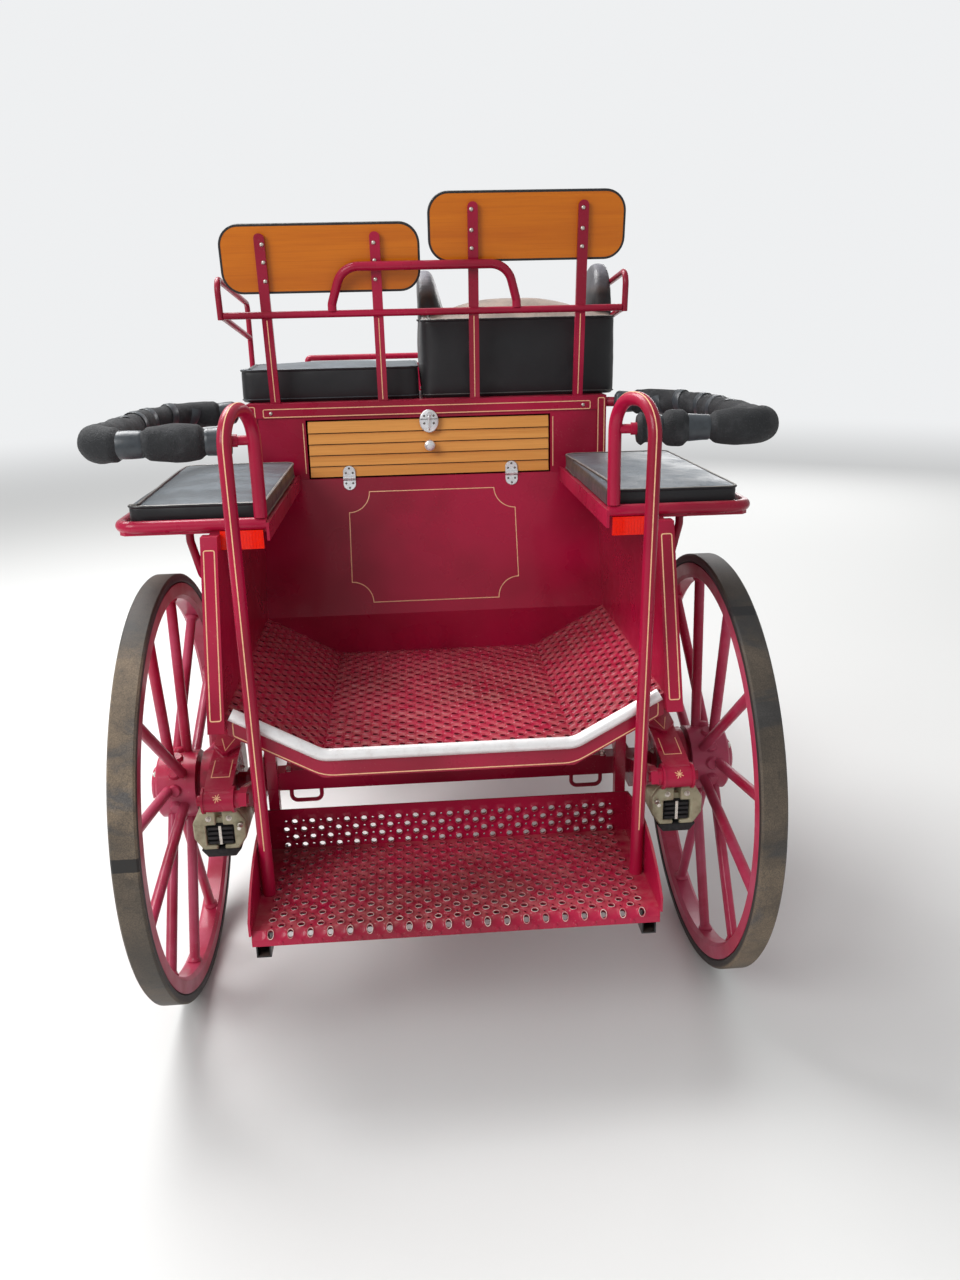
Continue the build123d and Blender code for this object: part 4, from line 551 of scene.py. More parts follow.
def rounded_path(points, radii, closed=False):
    """Points along straight runs joined by arcs."""
    points = [Vector(p) for p in points]
    count = len(points)
    path = []
    for i, point in enumerate(points):
        if not closed and i in (0, count - 1):
            path.append(point)
            continue
        radius = radii[(i - 1) % len(radii)] if isinstance(radii, (list, tuple)) else radii
        path += arc_corner(points[i - 1], point, points[(i + 1) % count], radius)
    return path


def evenly(points, step):
    """The same line with points about a step apart."""
    lengths = [0.0]
    for a, b in zip(points, points[1:]):
        lengths.append(lengths[-1] + (b - a).length)
    count = max(1, round(lengths[-1] / step))
    found = []
    k = 0
    for i in range(count + 1):
        want = lengths[-1] * i / count
        while k < len(points) - 2 and lengths[k + 1] < want:
            k += 1
        share = (want - lengths[k]) / max(lengths[k + 1] - lengths[k], 1e-9)
        found.append(points[k].lerp(points[k + 1], min(max(share, 0), 1)))
    return found


def carried_frames(points, first, closed=False):
    """(tangent, side, other) at each point; side starts along first and is carried without twist."""
    frames = []
    side = Vector(first)
    count = len(points)
    for i in range(count):
        if closed:
            tangent = (points[(i + 1) % count] - points[i - 1]).normalized()
        else:
            tangent = (points[min(i + 1, count - 1)] - points[max(i - 1, 0)]).normalized()
        side = (side - tangent * side.dot(tangent)).normalized()
        frames.append((tangent, side.copy(), tangent.cross(side)))
    return frames


def round_turns(count):
    """Angles that divide a full turn."""
    return [2 * math.pi * k / count for k in range(count)]


def radial(frame, turn):
    """The direction at an angle round a frame's tangent."""
    _, side, other = frame
    return side * math.cos(turn) + other * math.sin(turn)


def box_corners(x0, x1, z0, z1):
    return (x0, z0), (x1, z0), (x1, z1), (x0, z1)


class Bag:
    """Small closed forms on one body and in one material, kept as one mesh."""

    def __init__(self):
        self.verts = []
        self.faces = []
        self.marks = []

    def form(self, verts, faces, marks=None):
        start = len(self.verts)
        self.marks += marks or [0.0] * len(verts)
        self.verts += [Vector(v) for v in verts]
        self.faces += [tuple(i + start for i in face) for face in faces]

    def rings(self, rings, closed=False):
        """Joins rings of the same number of points, with flat ends unless the row of rings closes."""
        sides = len(rings[0])
        faces = []
        count = len(rings)
        for r in range(count if closed else count - 1):
            a, b = r * sides, (r + 1) % count * sides
            for k in range(sides):
                n = (k + 1) % sides
                faces.append((a + k, a + n, b + n, b + k))
        if not closed:
            faces.append(tuple(range(sides - 1, -1, -1)))
            faces.append(tuple(range((count - 1) * sides, count * sides)))
        self.form([p for ring in rings for p in ring], faces)

    def turned(self, foot, axis, profile, sides=14):
        """Profile of (radius, height) pairs turned round an axis."""
        axis = Vector(axis).normalized()
        side = axis.orthogonal().normalized()
        frame = axis, side, axis.cross(side)
        self.rings([[Vector(foot) + axis * h + radial(frame, t) * max(r, 1e-5) for t in round_turns(sides)]
                    for r, h in profile])

    def prism(self, outline, *ys):
        """An outline in X and Z drawn along Y."""
        self.rings([[at(x, y, z) for x, z in outline] for y in ys])

    def dome(self, foot, axis, radius, height):
        self.turned(foot, axis, [(radius, -0.0005), (radius, 0.3 * height), (0.86 * radius, 0.68 * height),
                                 (0.5 * radius, 0.94 * height), (0, height)])

    def nut(self, foot, axis, radius, height):
        """Washer, hexagon and the end of its stud."""
        self.turned(foot, axis, [(1.35 * radius, -0.0005), (1.35 * radius, 0.15 * height)], 18)
        self.turned(foot, axis, [(radius, 0), (radius, height), (0.8 * radius, 1.08 * height)], 6)
        self.turned(foot, axis, [(0.55 * radius, height), (0.55 * radius, 1.4 * height),
                                 (0.45 * radius, 1.5 * height)], 12)

    def tube(self, points, radius, sides=12, first=(0, 0, 1), closed=False):
        rings = []
        for i, (point, frame) in enumerate(zip(points, carried_frames(points, first, closed))):
            r = radius(i / (len(points) - 1)) if callable(radius) else radius
            rings.append([point + radial(frame, t) * r for t in round_turns(sides)])
        self.rings(rings, closed)

    def stripe(self, points, normals, width, lift=0.0005, closed=False):
        """Thin painted line that lies on a surface, with its own small thickness."""
        normals = [Vector(n).normalized() for n in (normals if isinstance(normals, list) else [normals] * len(points))]
        count = len(points)
        rings = []
        for i, (point, up) in enumerate(zip(points, normals)):
            before = points[i - 1] if i or closed else point
            after = points[(i + 1) % count] if i < count - 1 or closed else point
            a = (point - before).normalized() if i or closed else (after - point).normalized()
            b = (after - point).normalized() if i < count - 1 or closed else a
            across_a, across_b = up.cross(a).normalized(), up.cross(b).normalized()
            across = (across_a + across_b).normalized()
            across /= max(across.dot(across_a), 0.35)
            half = across * width / 2
            rings.append([point - half, point + half, point + half * 0.8 + up * lift, point - half * 0.8 + up * lift])
        self.rings(rings, closed)

    def make(self, name, finish, slot=None, body="carriage", smooth=True, sharp_deg=38.0):
        return link_mesh(self, name, MATERIALS[finish], slot or finish, body, smooth, sharp_deg)


def bmesh_form(made):
    """The mesh being made as (verts, faces)."""
    made.verts.index_update()
    form = [v.co.copy() for v in made.verts], [tuple(v.index for v in f.verts) for f in made.faces]
    made.free()
    return form


def slab_form(low, high, corner, edge):
    """A block with round upright corners and eased rims."""
    made = bmesh.new()
    bmesh.ops.create_cube(made, size=1.0)
    low, high = Vector(low), Vector(high)
    for vert in made.verts:
        vert.co = Vector((vert.co[k] + 0.5) * (high[k] - low[k]) + low[k] for k in range(3))
    upright = [e for e in made.edges if abs(e.verts[0].co.z - e.verts[1].co.z) > 1e-6]
    bmesh.ops.bevel(made, geom=upright, offset=corner, segments=6, profile=0.5, affect="EDGES")
    rims = [e for e in made.edges if len(e.link_faces) == 2
            and any(abs(f.normal.z) > 0.9 for f in e.link_faces) and any(abs(f.normal.z) < 0.1 for f in e.link_faces)]
    bmesh.ops.bevel(made, geom=rims, offset=edge, segments=3, profile=0.5, affect="EDGES")
    return bmesh_form(made)


# Cushions
CLOTH = {"quality": 4, "mass": 0.3, "tension_stiffness": 18, "compression_stiffness": 12, "bending_stiffness": 0.6,
         "use_pressure": True, "uniform_pressure_force": 4.0}
CLOTH_FRAMES = 20
WRINKLE = 0.0008
WRINKLE_OFTEN = 17
PIPING_R = 0.0036
SEAM_R = 0.0022
CORD_INSET = 0.001
CORD_STEP = 0.006


def remeshed(piece, voxel):
    """The piece's mesh as even quads of one voxel's size."""
    change = piece.modifiers.new("remesh", "REMESH")
    change.mode = "VOXEL"
    change.voxel_size = voxel
    graph = bpy.context.evaluated_depsgraph_get()
    fresh = bpy.data.meshes.new_from_object(piece.evaluated_get(graph))
    piece.modifiers.clear()
    piece.data = fresh


def swell(piece, held, cap):
    """Inflates the piece with Cloth pressure; held(place) says how firmly a point stays, cap how far one may go."""
    rest = [v.co.copy() for v in piece.data.vertices]
    group = piece.vertex_groups.new(name="held")
    for index, place in enumerate(rest):
        group.add([index], held(place), "REPLACE")
    cloth = piece.modifiers.new("cloth", "CLOTH")
    for key, value in CLOTH.items():
        setattr(cloth.settings, key, value)
    cloth.settings.vertex_group_mass = group.name
    cloth.settings.effector_weights.gravity = 0
    cloth.point_cache.frame_start = 1
    cloth.point_cache.frame_end = CLOTH_FRAMES
    for step in range(1, CLOTH_FRAMES + 1):
        bpy.context.scene.frame_set(step)
    graph = bpy.context.evaluated_depsgraph_get()
    moved = [v.co.copy() for v in piece.evaluated_get(graph).data.vertices]
    piece.modifiers.clear()
    piece.vertex_groups.clear()
    bpy.context.scene.frame_set(1)
    for vert, start, end in zip(piece.data.vertices, rest, moved):
        shift = end - start
        if shift.length > cap:
            shift *= cap / shift.length
        vert.co = start + shift


def cushion(name, node, forms, finish, voxel, held, cap):
    """A stuffed cushion in place of its CAD solid."""
    bag = Bag()
    for verts, faces in forms:
        bag.form(verts, faces)
    piece = bag.make(name, finish, "vinyl")
    remeshed(piece, voxel)
    swell(piece, held, cap)
    for vert in piece.data.vertices:
        place = vert.co * WRINKLE_OFTEN
        push = mathutils.noise.noise(place) + 0.5 * mathutils.noise.noise(place * 2.7)
        vert.co += vert.normal * push * WRINKLE
    piece.data.shade_smooth()
    change = piece.modifiers.new("soften", "SUBSURF")
    change.levels = change.render_levels = 1
    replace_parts(piece, node)
    return piece


def rim_line(low, high, corner, z):
    """Points round a cushion's edge at a height, just inside its faces."""
    x0, y0 = low.x + CORD_INSET, low.y + CORD_INSET
    x1, y1 = high.x - CORD_INSET, high.y - CORD_INSET
    corner -= CORD_INSET
    return evenly(rounded_path([(x, y, z) for x, y in box_corners(x0, x1, y0, y1)], corner, True)
                  + [Vector((x0 + corner, y0, z))], CORD_STEP)[:-1]


def laid_on(piece, points, lift):
    """The points moved onto the piece's surface."""
    tree = BVHTree.FromPolygons([v.co.copy() for v in piece.data.vertices],
                                [tuple(f.vertices) for f in piece.data.polygons])
    found = []
    for point in points:
        place, normal, _, _ = tree.find_nearest(point)
        found.append(place + normal * lift)
    return found


def held_rims(low, high, foot, rim, side):
    """Holds a boxed cushion's foot and the rim of its top, as far as the three measures reach."""
    def held(place):
        near_side = min(place.x - low.x, high.x - place.x, place.y - low.y, high.y - place.y) < side
        return 1.0 if place.z < low.z + foot or near_side and place.z > high.z - rim else 0.0
    return held


def piping(name, piece, low, high, corner, cords, finish):
    """Cords round a cushion, each given by its height, radius and lift off the cloth."""
    trim = Bag()
    for z, radius, lift in cords:
        trim.tube(laid_on(piece, rim_line(low, high, corner, z), lift), radius, 8, closed=True)
    trim.make(name, finish, "vinyl")


# The side cushions and the left bench cushion: boxes whose rims are held by piping
# columns: how far the block lies inside its CAD box, its corner, the mesh's voxel, the held foot, rim and side, how far
# the cloth may go, the piping's depth and lift, the seam's height and lift, and the piping's finish
BOXED = {"side": (0.004, 0.024, 0.0055, (0.006, 0.009, 0.014), 0.005, (0.006, 0.001), (0.006, 0.0), "worn_piping"),
         "bench": (0.005, 0.028, 0.007, (0.008, 0.012, 0.016), 0.010, (0.007, 0.001), (0.008, 0.001), "vinyl")}
for kind, side_name in (("side", "left"), ("side", "right"), ("bench", "left")):
    inset, corner, voxel, reach, cap, cord, seam, finish = BOXED[kind]
    node = f"{kind}_cushion_{side_name}"
    low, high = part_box(node)
    inner = Vector((inset, inset, 0))
    form = slab_form(low + inner, high - inner - Vector((0, 0, inset)), corner, 0.005)
    piece = cushion(f"{kind}_pad_{side_name}", node, [form], "vinyl", voxel, held_rims(low, high, *reach), cap)
    piping(f"{kind}_piping_{side_name}", piece, low + inner, high - inner, corner,
           ((high.z - cord[0], PIPING_R, cord[1]), (low.z + seam[0], SEAM_R, seam[1])), finish)

# The driver's seat: a block with a crowned top between two ears, a little wider than its CAD box at the right
low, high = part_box("bench_cushion_right")
high = high + Vector((0.016, 0, 0))
inner = Vector((0.005, 0.005, 0))
BLOCK_TOP = low.z + 0.214
BLOCK_CORNER = 0.028
EAR_Y = (0.680, 0.930)
EAR_LIFT = 0.010
DOME_RISE = 0.055
ROOT_DEPTH = 0.05
block_high = Vector((high.x, high.y, BLOCK_TOP))
# slices of an ear from its outer face inwards: distance in, how much smaller, share of the height
EAR_SLICES = ((0.0, 0.010, 1.0), (0.003, 0.003, 1.0), (0.010, 0.0, 1.0), (0.034, 0.0, 1.0), (0.044, 0.003, 0.93),
              (0.054, 0.012, 0.76), (0.064, 0.024, 0.50), (0.072, 0.040, 0.20))


def ear_form(outer_x, inward, taller=0.0):
    """One upright ear: half an ellipse with soft edges, wider at its root in the block."""
    y0, y1 = EAR_Y[0] + AXLE_Y, EAR_Y[1] + AXLE_Y
    middle, half = (y0 + y1) / 2, (y1 - y0) / 2 - 0.004
    rise = high.z - BLOCK_TOP - 0.004 + taller
    rings = []
    for run, less, share in EAR_SLICES:
        x = outer_x + inward * run
        reach = half - less
        outline = [Vector((x, middle - reach, z)) for z in (BLOCK_TOP - ROOT_DEPTH, BLOCK_TOP)]
        for k in range(1, 16):
            t = math.pi * k / 16
            outline.append(Vector((x, middle - reach * math.cos(t),
                                   BLOCK_TOP + (rise - less) * share * math.sin(t) ** 0.8)))
        outline += [Vector((x, middle + reach, z)) for z in (BLOCK_TOP, BLOCK_TOP - ROOT_DEPTH)]
        rings.append(outline)
    bag = Bag()
    bag.rings(rings)
    return bag.verts, bag.faces


def dome_form(x0, x1, y0, y1):
    """The crowned top of the seat between its ears."""
    count = 24
    rings = []
    for i in range(count + 1):
        x = x0 + (x1 - x0) * i / count
        ring = [Vector((x, y, BLOCK_TOP - 0.03)) for y in (y1, y0)]
        for k in range(count + 1):
            rise = DOME_RISE * (1 - abs(2 * i / count - 1) ** 2.6) * (1 - abs(2 * k / count - 1) ** 2.6) - 0.008
            ring.append(Vector((x, y0 + (y1 - y0) * k / count, BLOCK_TOP + rise)))
        rings.append(ring)
    bag = Bag()
    bag.rings(rings)
    return bag.verts, bag.faces


def held_driver(place):
    """Ears and crown are held softly, the block like the other cushions."""
    return 0.75 if place.z > BLOCK_TOP + 0.012 else held_block(place)


held_block = held_rims(low, block_high, 0.008, 0.014, 0.016)
forms = [slab_form(low + inner, block_high - inner - Vector((0, 0, 0.006)), BLOCK_CORNER, 0.006),
         ear_form(low.x + 0.003, 1), ear_form(high.x - 0.003, -1, EAR_LIFT),
         dome_form(low.x + 0.036, high.x - 0.036, low.y + 0.012, high.y - 0.012)]
driver_pad = cushion("bench_pad_right", "bench_cushion_right", forms, "driver_vinyl", 0.008, held_driver, 0.016)
piping("bench_piping_right", driver_pad, low + inner, block_high - inner, BLOCK_CORNER,
       ((BLOCK_TOP - 0.008, PIPING_R, 0.001), (low.z + 0.008, SEAM_R, 0.001)), "worn_piping")

# Foam sleeves on the hip rails: swollen between tape bands, with tape wound round the stretch from TAPE_FROM to TAPE_TO
HIP_Z = 1.315
PAD_R = 0.034
RAIL_R = 0.013
HIP_BENDS = (0.070, 0.160, 0.090)
PAD_POINTS = ((0.420, -0.1167), (0.700, -0.1425), (0.702, 0.340), (0.640, 0.530), (0.516, 0.5779))
# columns: where a tape band starts and ends along the sleeve
TAPE_BANDS = {"left": ((0.010, 0.056), (0.169, 0.221), (1.00, 1.06)),
              "right": ((0.014, 0.056), (0.103, 0.156), (1.00, 1.06))}
PAD_SWELL = 0.0045
ELBOW_L = 0.18
TAPE_FROM = 0.52
TAPE_TO = 0.93
TAPE_TURN = 0.105
TAPE_STEP = 0.0042
TAPE_W = 0.026
TAPE_T = 0.0016
TAPE_TUCK = 0.0024
BAND_SQUEEZE = 0.0075
# columns: how often the foam's lumps come, how high they are
LUMPS = ((38, 0.0012), (9, 0.0016))
SLEEVE_END = 0.012


def pad_radius(run, length, bands):
    """Foam swells between the bands and is squeezed under them."""
    radius = PAD_R * (1 + 0.03 * math.sin(run * 31) + 0.025 * math.sin(run * 67 + 1.2))
    for low, high in ((bands[0][1], bands[1][0]), (bands[1][1], bands[1][1] + ELBOW_L)):
        if low < run < high:
            radius += PAD_SWELL * math.sin(math.pi * (run - low) / (high - low))
    for start, end in bands:
        inside = min(run - start, end - run)
        radius -= BAND_SQUEEZE * min(max(inside / 0.010 + 0.6, 0), 1)
    ends = min(run, length - run)
    return min(radius, PAD_R * 1.14) - 0.008 * max(0, 1 - ends / SLEEVE_END) ** 2


for side_name, side in SIDES:
    points = [at(side * x, y, HIP_Z) for x, y in PAD_POINTS]
    line = evenly(rounded_path(points, HIP_BENDS), 0.004)
    length = sum((b - a).length for a, b in zip(line, line[1:]))
    bands = TAPE_BANDS[side_name]
    turns = round_turns(30)
    rings = []
    frames = carried_frames(line, (0, 0, 1))
    runs = [length * i / (len(line) - 1) for i in range(len(line))]
    for run, point, frame in zip(runs, line, frames):
        ring = []
        base = pad_radius(run, length, bands)
        for t in turns:
            out = radial(frame, t)
            lump = sum(mathutils.noise.noise((point + out * PAD_R) * often) * high for often, high in LUMPS)
            ring.append(point + out * (base + lump))
        rings.append(ring)
    ends = [[line[i] + radial(frames[i], t) * RAIL_R for t in turns] for i in (0, -1)]
    bag = Bag()
    bag.rings([ends[0]] + rings + [ends[1]])
    pad = bag.make(f"hip_foam_{side_name}", "foam_sleeve")
    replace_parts(pad, f"hip_pad_{side_name}")
    tape = Bag()
    for start, end in bands:
        picked = [i for i, run in enumerate(runs) if start <= run <= end]
        rows = []
        for i in picked:
            radius = pad_radius(runs[i], length, bands) + TAPE_T
            if i in (picked[0], picked[-1]):
                radius -= TAPE_TUCK
            rows.append([line[i] + radial(frames[i], t) * radius for t in turns])
        tape.rings(rows)
    turn_points = []
    turn_normals = []
    run = TAPE_FROM
    while run < TAPE_TO:
        i = min(range(len(runs)), key=lambda k: abs(runs[k] - run))
        out = radial(frames[i], side * 2 * math.pi * run / TAPE_TURN)
        turn_points.append(line[i] + out * (pad_radius(run, length, bands) + 0.0011))
        turn_normals.append(out)
        run += TAPE_STEP
    tape.stripe(turn_points, turn_normals, TAPE_W, 0.0012)
    tape.make(f"hip_tape_{side_name}", "tape", "foam_sleeve")

# Perforated plates
CELL = 0.020
SHEET_T = 0.0036
# columns: radius and height of the pressed collar round an open hole, and how bare its metal is worn; a value below
# zero marks the hole's wall for painted shade
COLLAR = ((0.0093, 0.0017, 0.0), (0.0082, 0.0033, 0.3), (0.0074, 0.0041, 1.0), (0.0069, 0.0039, 1.0),
          (0.0066, 0.0028, 0.0), (0.0065, -SHEET_T, -1.0))
# the same for a small open hole and for a closed bump
PINHOLE = ((0.0036, 0.0, 0.0), (0.0031, 0.0008, 0.0), (0.0026, 0.0007, 0.0), (0.0024, -SHEET_T, -1.0))
BUMP = ((0.0058, 0.0004, 0.0), (0.0046, 0.0019, 0.0), (0.0026, 0.0026, 0.2))
PROFILES = {"hole": COLLAR, "slot": COLLAR, "pinhole": PINHOLE, "bump": BUMP}
SLOT_STRETCH = (0.88, 1.13)
BORDER_RISE = 0.0006
# where each side of a cell lies in its ring of twelve points, and the way to the neighbour there
SIDE_OF_CELL = {(1, 0): (10, 11, 0, 1), (0, 1): (1, 2, 3, 4), (-1, 0): (4, 5, 6, 7), (0, -1): (7, 8, 9, 10)}
RING_TURNS = [math.radians(15 + 30 * k) for k in range(12)]


def cell_ring():
    """Twelve points round a square of half width 1: its corners and two more on each side."""
    ring = [(1, 1 / 3), (1, 1), (1 / 3, 1)]
    for _ in range(3):
        ring += [(-y, x) for x, y in ring[-3:]]
    return ring


def plate_cells(bag, us, vs, place, kind):
    """Cells over a sheet between borders; place(u, v, w) gives a point, kind(i, j) says what a cell has."""
    ring = cell_ring()
    for i, (u0, u1) in enumerate(zip(us, us[1:])):
        for j, (v0, v1) in enumerate(zip(vs, vs[1:])):
            u, v = (u0 + u1) / 2, (v0 + v1) / 2
            found = kind(i, j)
            rise = [0.0] * 12
            for (di, dj), edge in SIDE_OF_CELL.items():
                if {"hole", "slot"} & {found, kind(i + di, j + dj)}:
                    rise[edge[1]] = rise[edge[2]] = BORDER_RISE
            verts = [place(u + x * (u1 - u0) / 2, v + y * (v1 - v0) / 2, w)
                     for drop in (0, SHEET_T) for (x, y), w in zip(ring, [h - drop for h in rise])]
            marks = [0.0] * 24
            faces = []
            last = 0
            wide, long = SLOT_STRETCH if found == "slot" else (1, 1)
            for radius, height, bare in PROFILES.get(found, ()):
                first = len(verts)
                verts += [place(u + radius * wide * math.cos(t), v + radius * long * math.sin(t), height)
                          for t in RING_TURNS]
                marks += [bare] * 12
                faces += [(last + k, last + (k + 1) % 12, first + (k + 1) % 12, first + k) for k in range(12)]
                last = first
            if found in ("hole", "slot", "pinhole"):
                faces += [(last + k, last + (k + 1) % 12, 12 + (k + 1) % 12, 12 + k) for k in range(12)]
            else:
                faces += [tuple(range(last, last + 12)), tuple(range(23, 11, -1))]
            for (di, dj), edge in SIDE_OF_CELL.items():
                if not (0 <= i + di < len(us) - 1 and 0 <= j + dj < len(vs) - 1):
                    faces += [(a, a + 12, b + 12, b) for a, b in zip(edge, edge[1:])]
            bag.form(verts, faces, marks)


def weld(piece):
    """Joins cells at their borders and turns all faces outwards."""
    made = bmesh.new()
    made.from_mesh(piece.data)
    bmesh.ops.remove_doubles(made, verts=made.verts, dist=0.00005)
    bmesh.ops.recalc_face_normals(made, faces=made.faces)
    made.to_mesh(piece.data)
    made.free()
    piece.data.shade_smooth()
    piece.data.set_sharp_from_angle(angle=math.radians(42))


FLOOR_Z = 0.666
WING_Z = 0.774
FLAT_HALF = 0.270
WELL_HALF = 0.462
FLOOR_REAR = -0.257
FLOOR_FRONT = 0.436
FLOOR_COLUMNS = 49
FLOOR_ROWS = 34
WING_L = math.hypot(WELL_HALF - FLAT_HALF, WING_Z - FLOOR_Z)
WING_OUT = (WELL_HALF - FLAT_HALF) / WING_L
WING_UP = (WING_Z - FLOOR_Z) / WING_L


def on_floor(u, v, w):
    """A place on the well's floor: u across and up the wings, v forward, w off the sheet."""
    wing = max(abs(u) - FLAT_HALF, 0)
    x = min(abs(u), FLAT_HALF) + wing * WING_OUT
    z = FLOOR_Z + wing * WING_UP
    if wing > 1e-6:
        x, z = x - w * WING_UP, z + w * WING_OUT
    else:
        z += w
    return at(math.copysign(x, u), v, z)


def steps_between(low, high, pitch, count):
    """Borders of count cells of one pitch, centred between two ends that close the last cells."""
    first = (low + high - count * pitch) / 2
    borders = [first + pitch * k for k in range(count + 1)]
    return [low] + borders[1:-1] + [high]


def floor_cell(i, j):
    inside = 0 <= i < FLOOR_COLUMNS and 0 <= j < FLOOR_ROWS
    return "hole" if inside and (i + j) % 2 == 0 else ""


bag = Bag()
# an odd number of columns puts the folds between cells
us = steps_between(-FLAT_HALF - WING_L, FLAT_HALF + WING_L, CELL, FLOOR_COLUMNS)
vs = steps_between(FLOOR_REAR, FLOOR_FRONT, CELL, FLOOR_ROWS)
plate_cells(bag, us, vs, on_floor, floor_cell)
floor_plate = bag.make("floor_plate", "perforated_plate")
weld(floor_plate)
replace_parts(floor_plate, "well_floor")

STEP_Z = 0.370
STEP_REAR = -0.455
STEP_DEPTH = 0.345
STEP_HALF = 0.418
STEP_LIP = 0.028
RISER_H = 0.100
STEP_SIDE_T = 0.005
HANGER_X = (0.392, 0.416)
HANGER_D = 0.024
STEP_BEND_R = 0.014
BEND_L = STEP_BEND_R * math.pi / 2
TREAD_L = STEP_DEPTH - STEP_BEND_R
TREAD_COLUMNS = 41
TREAD_ROWS = 16
RISER_ROWS = 4


def on_step(u, v, w):
    """A place on the step's pressing: v runs up the lip, round the bend, along the tread and up the riser."""
    if v < 1e-6:
        turn = min(max(-v, 0), BEND_L) / STEP_BEND_R
        out = STEP_BEND_R + w
        y = STEP_REAR + STEP_BEND_R - out * math.sin(turn)
        z = STEP_Z - STEP_BEND_R + out * math.cos(turn) + min(v + BEND_L, 0)
    else:
        y = STEP_REAR + STEP_BEND_R + min(v, TREAD_L) - (w if v > TREAD_L - 1e-6 else 0)
        z = STEP_Z + max(v - TREAD_L, 0) + (w if v < TREAD_L + 1e-6 else 0)
    return at(u, y, z)


def step_cell(i, j):
    """Rows from the lip: bumps, the bend's holes, the tread, a plain strip, the riser, a plain strip."""
    if not (0 < i < TREAD_COLUMNS - 1 and 0 <= j < 3 + TREAD_ROWS + RISER_ROWS) or j == 2 + TREAD_ROWS:
        return ""
    if j < 2:
        return ("bump" if i % 2 == 0 else "", "slot" if i % 2 else "")[j]
    return "hole" if (i + j) % 2 == 0 else "pinhole"


bag = Bag()
us = steps_between(-STEP_HALF, STEP_HALF, CELL, TREAD_COLUMNS)
vs = [-BEND_L - (STEP_LIP - STEP_BEND_R), -BEND_L]
vs += [CELL * k for k in range(TREAD_ROWS + 1)]
vs += [TREAD_L + CELL * k for k in range(RISER_ROWS + 1)] + [TREAD_L + RISER_H]
plate_cells(bag, us, vs, on_step, step_cell)


def arc_through(a, b, c, count):
    """Points (y, z) of the circle's arc through three points."""
    (ax, ay), (bx, by), (cx, cy) = a, b, c
    d = 2 * (ax * (by - cy) + bx * (cy - ay) + cx * (ay - by))
    ux = ((ax * ax + ay * ay) * (by - cy) + (bx * bx + by * by) * (cy - ay) + (cx * cx + cy * cy) * (ay - by)) / d
    uy = ((ax * ax + ay * ay) * (cx - bx) + (bx * bx + by * by) * (ax - cx) + (cx * cx + cy * cy) * (bx - ax)) / d
    radius = math.hypot(ax - ux, ay - uy)
    start, end = math.atan2(ay - uy, ax - ux), math.atan2(cy - uy, cx - ux)
    return [(ux + radius * math.cos(start + (end - start) * k / count),
             uy + radius * math.sin(start + (end - start) * k / count)) for k in range(count + 1)]


front = STEP_REAR + STEP_DEPTH + 0.004
outline = arc_through((STEP_REAR, STEP_Z + 0.028), (STEP_REAR + 0.3 * STEP_DEPTH, STEP_Z + 0.100),
                      (STEP_REAR + 0.7 * STEP_DEPTH, STEP_Z + 0.120), 16)
STEP_UNDER = STEP_Z - 0.004
side_outline = outline + [(front, STEP_Z + RISER_H), (front, STEP_UNDER), (STEP_REAR, STEP_UNDER)]
for side in (-1, 1):
    bag.rings([[at(side * x, y, z) for y, z in side_outline] for x in (STEP_HALF, STEP_HALF + STEP_SIDE_T)])
    tops = [FLOOR_Z - 0.004 + (x - FLAT_HALF) * WING_UP / WING_OUT for x in HANGER_X]
    hanger = list(zip(HANGER_X, (STEP_UNDER, STEP_UNDER))) + list(zip(HANGER_X, tops))[::-1]
    bag.prism([(side * x, z) for x, z in hanger], front, front + HANGER_D)
step_piece = bag.make("step_pressing", "step_plate")
weld(step_piece)
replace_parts(step_piece, "rear_step")

# Painted stripes
STRIPE_W = 0.0026
SLOPE = 0.3842
BACK_FOOT = (0.436, 0.774)
SLOPE_UP = Vector((0, -1, SLOPE)).normalized()
BACKWARD = Vector((0, -1, 0))


def on_slope(x, z):
    return at(x, BACK_FOOT[0] + SLOPE * (z - BACK_FOOT[1]), z)


def stripe_box(bag, x0, x1, z0, z1, y_of, normal, corner=0.004):
    """Outline of a rectangle on a face whose place along Y is y_of(z)."""
    corners = [at(x, y_of(z), z) for x, z in box_corners(x0, x1, z0, z1)]
    bag.stripe(rounded_path(corners, corner, True), normal, STRIPE_W, closed=True)


stripes = Bag()
# the panel on the sloping wall: an outline with a round notch at each corner
NOTCH_R = 0.057
PANEL = (-0.229, 0.231, 0.805, 1.092)
line = []
slope_run = math.hypot(1, SLOPE)
for index, begin in ((2, 180), (1, 90), (0, 0), (3, 270)):
    cx, cz = box_corners(*PANEL)[index]
    for k in range(13):
        t = math.radians(begin + 90 * k / 12)
        line.append(on_slope(cx + NOTCH_R * math.cos(t), cz + NOTCH_R * math.sin(t) / slope_run))
stripes.stripe(line, SLOPE_UP, STRIPE_W, closed=True)
RAIL_Y = 0.568
# left, right, bottom and top of the outlines on the bench's rail, on its end posts and on the well's pillars
RAIL_BOX = (-0.445, 0.445, 1.2995, 1.3205)
POST_BOX = (0.4675, 0.4845, 1.158, 1.3275)
PILLAR_BOX = (0.4685, 0.4905, 0.765, 1.098)
PILLAR_FOOT = (-0.287, 0.740)
PILLAR_RUN = 0.132
PILLAR_RISE = 0.384
POST_XS = (-0.411, -0.122, 0.128, 0.411)
LEAN = math.tan(math.radians(9))
LEAN_BACK = Vector((0, -1, -LEAN)).normalized()


def rail_y(z):
    return RAIL_Y


def pillar_y(z):
    return PILLAR_FOOT[0] + PILLAR_RUN * (z - PILLAR_FOOT[1]) / PILLAR_RISE


def post_y(z):
    return 0.572 - LEAN * (z - 1.335)


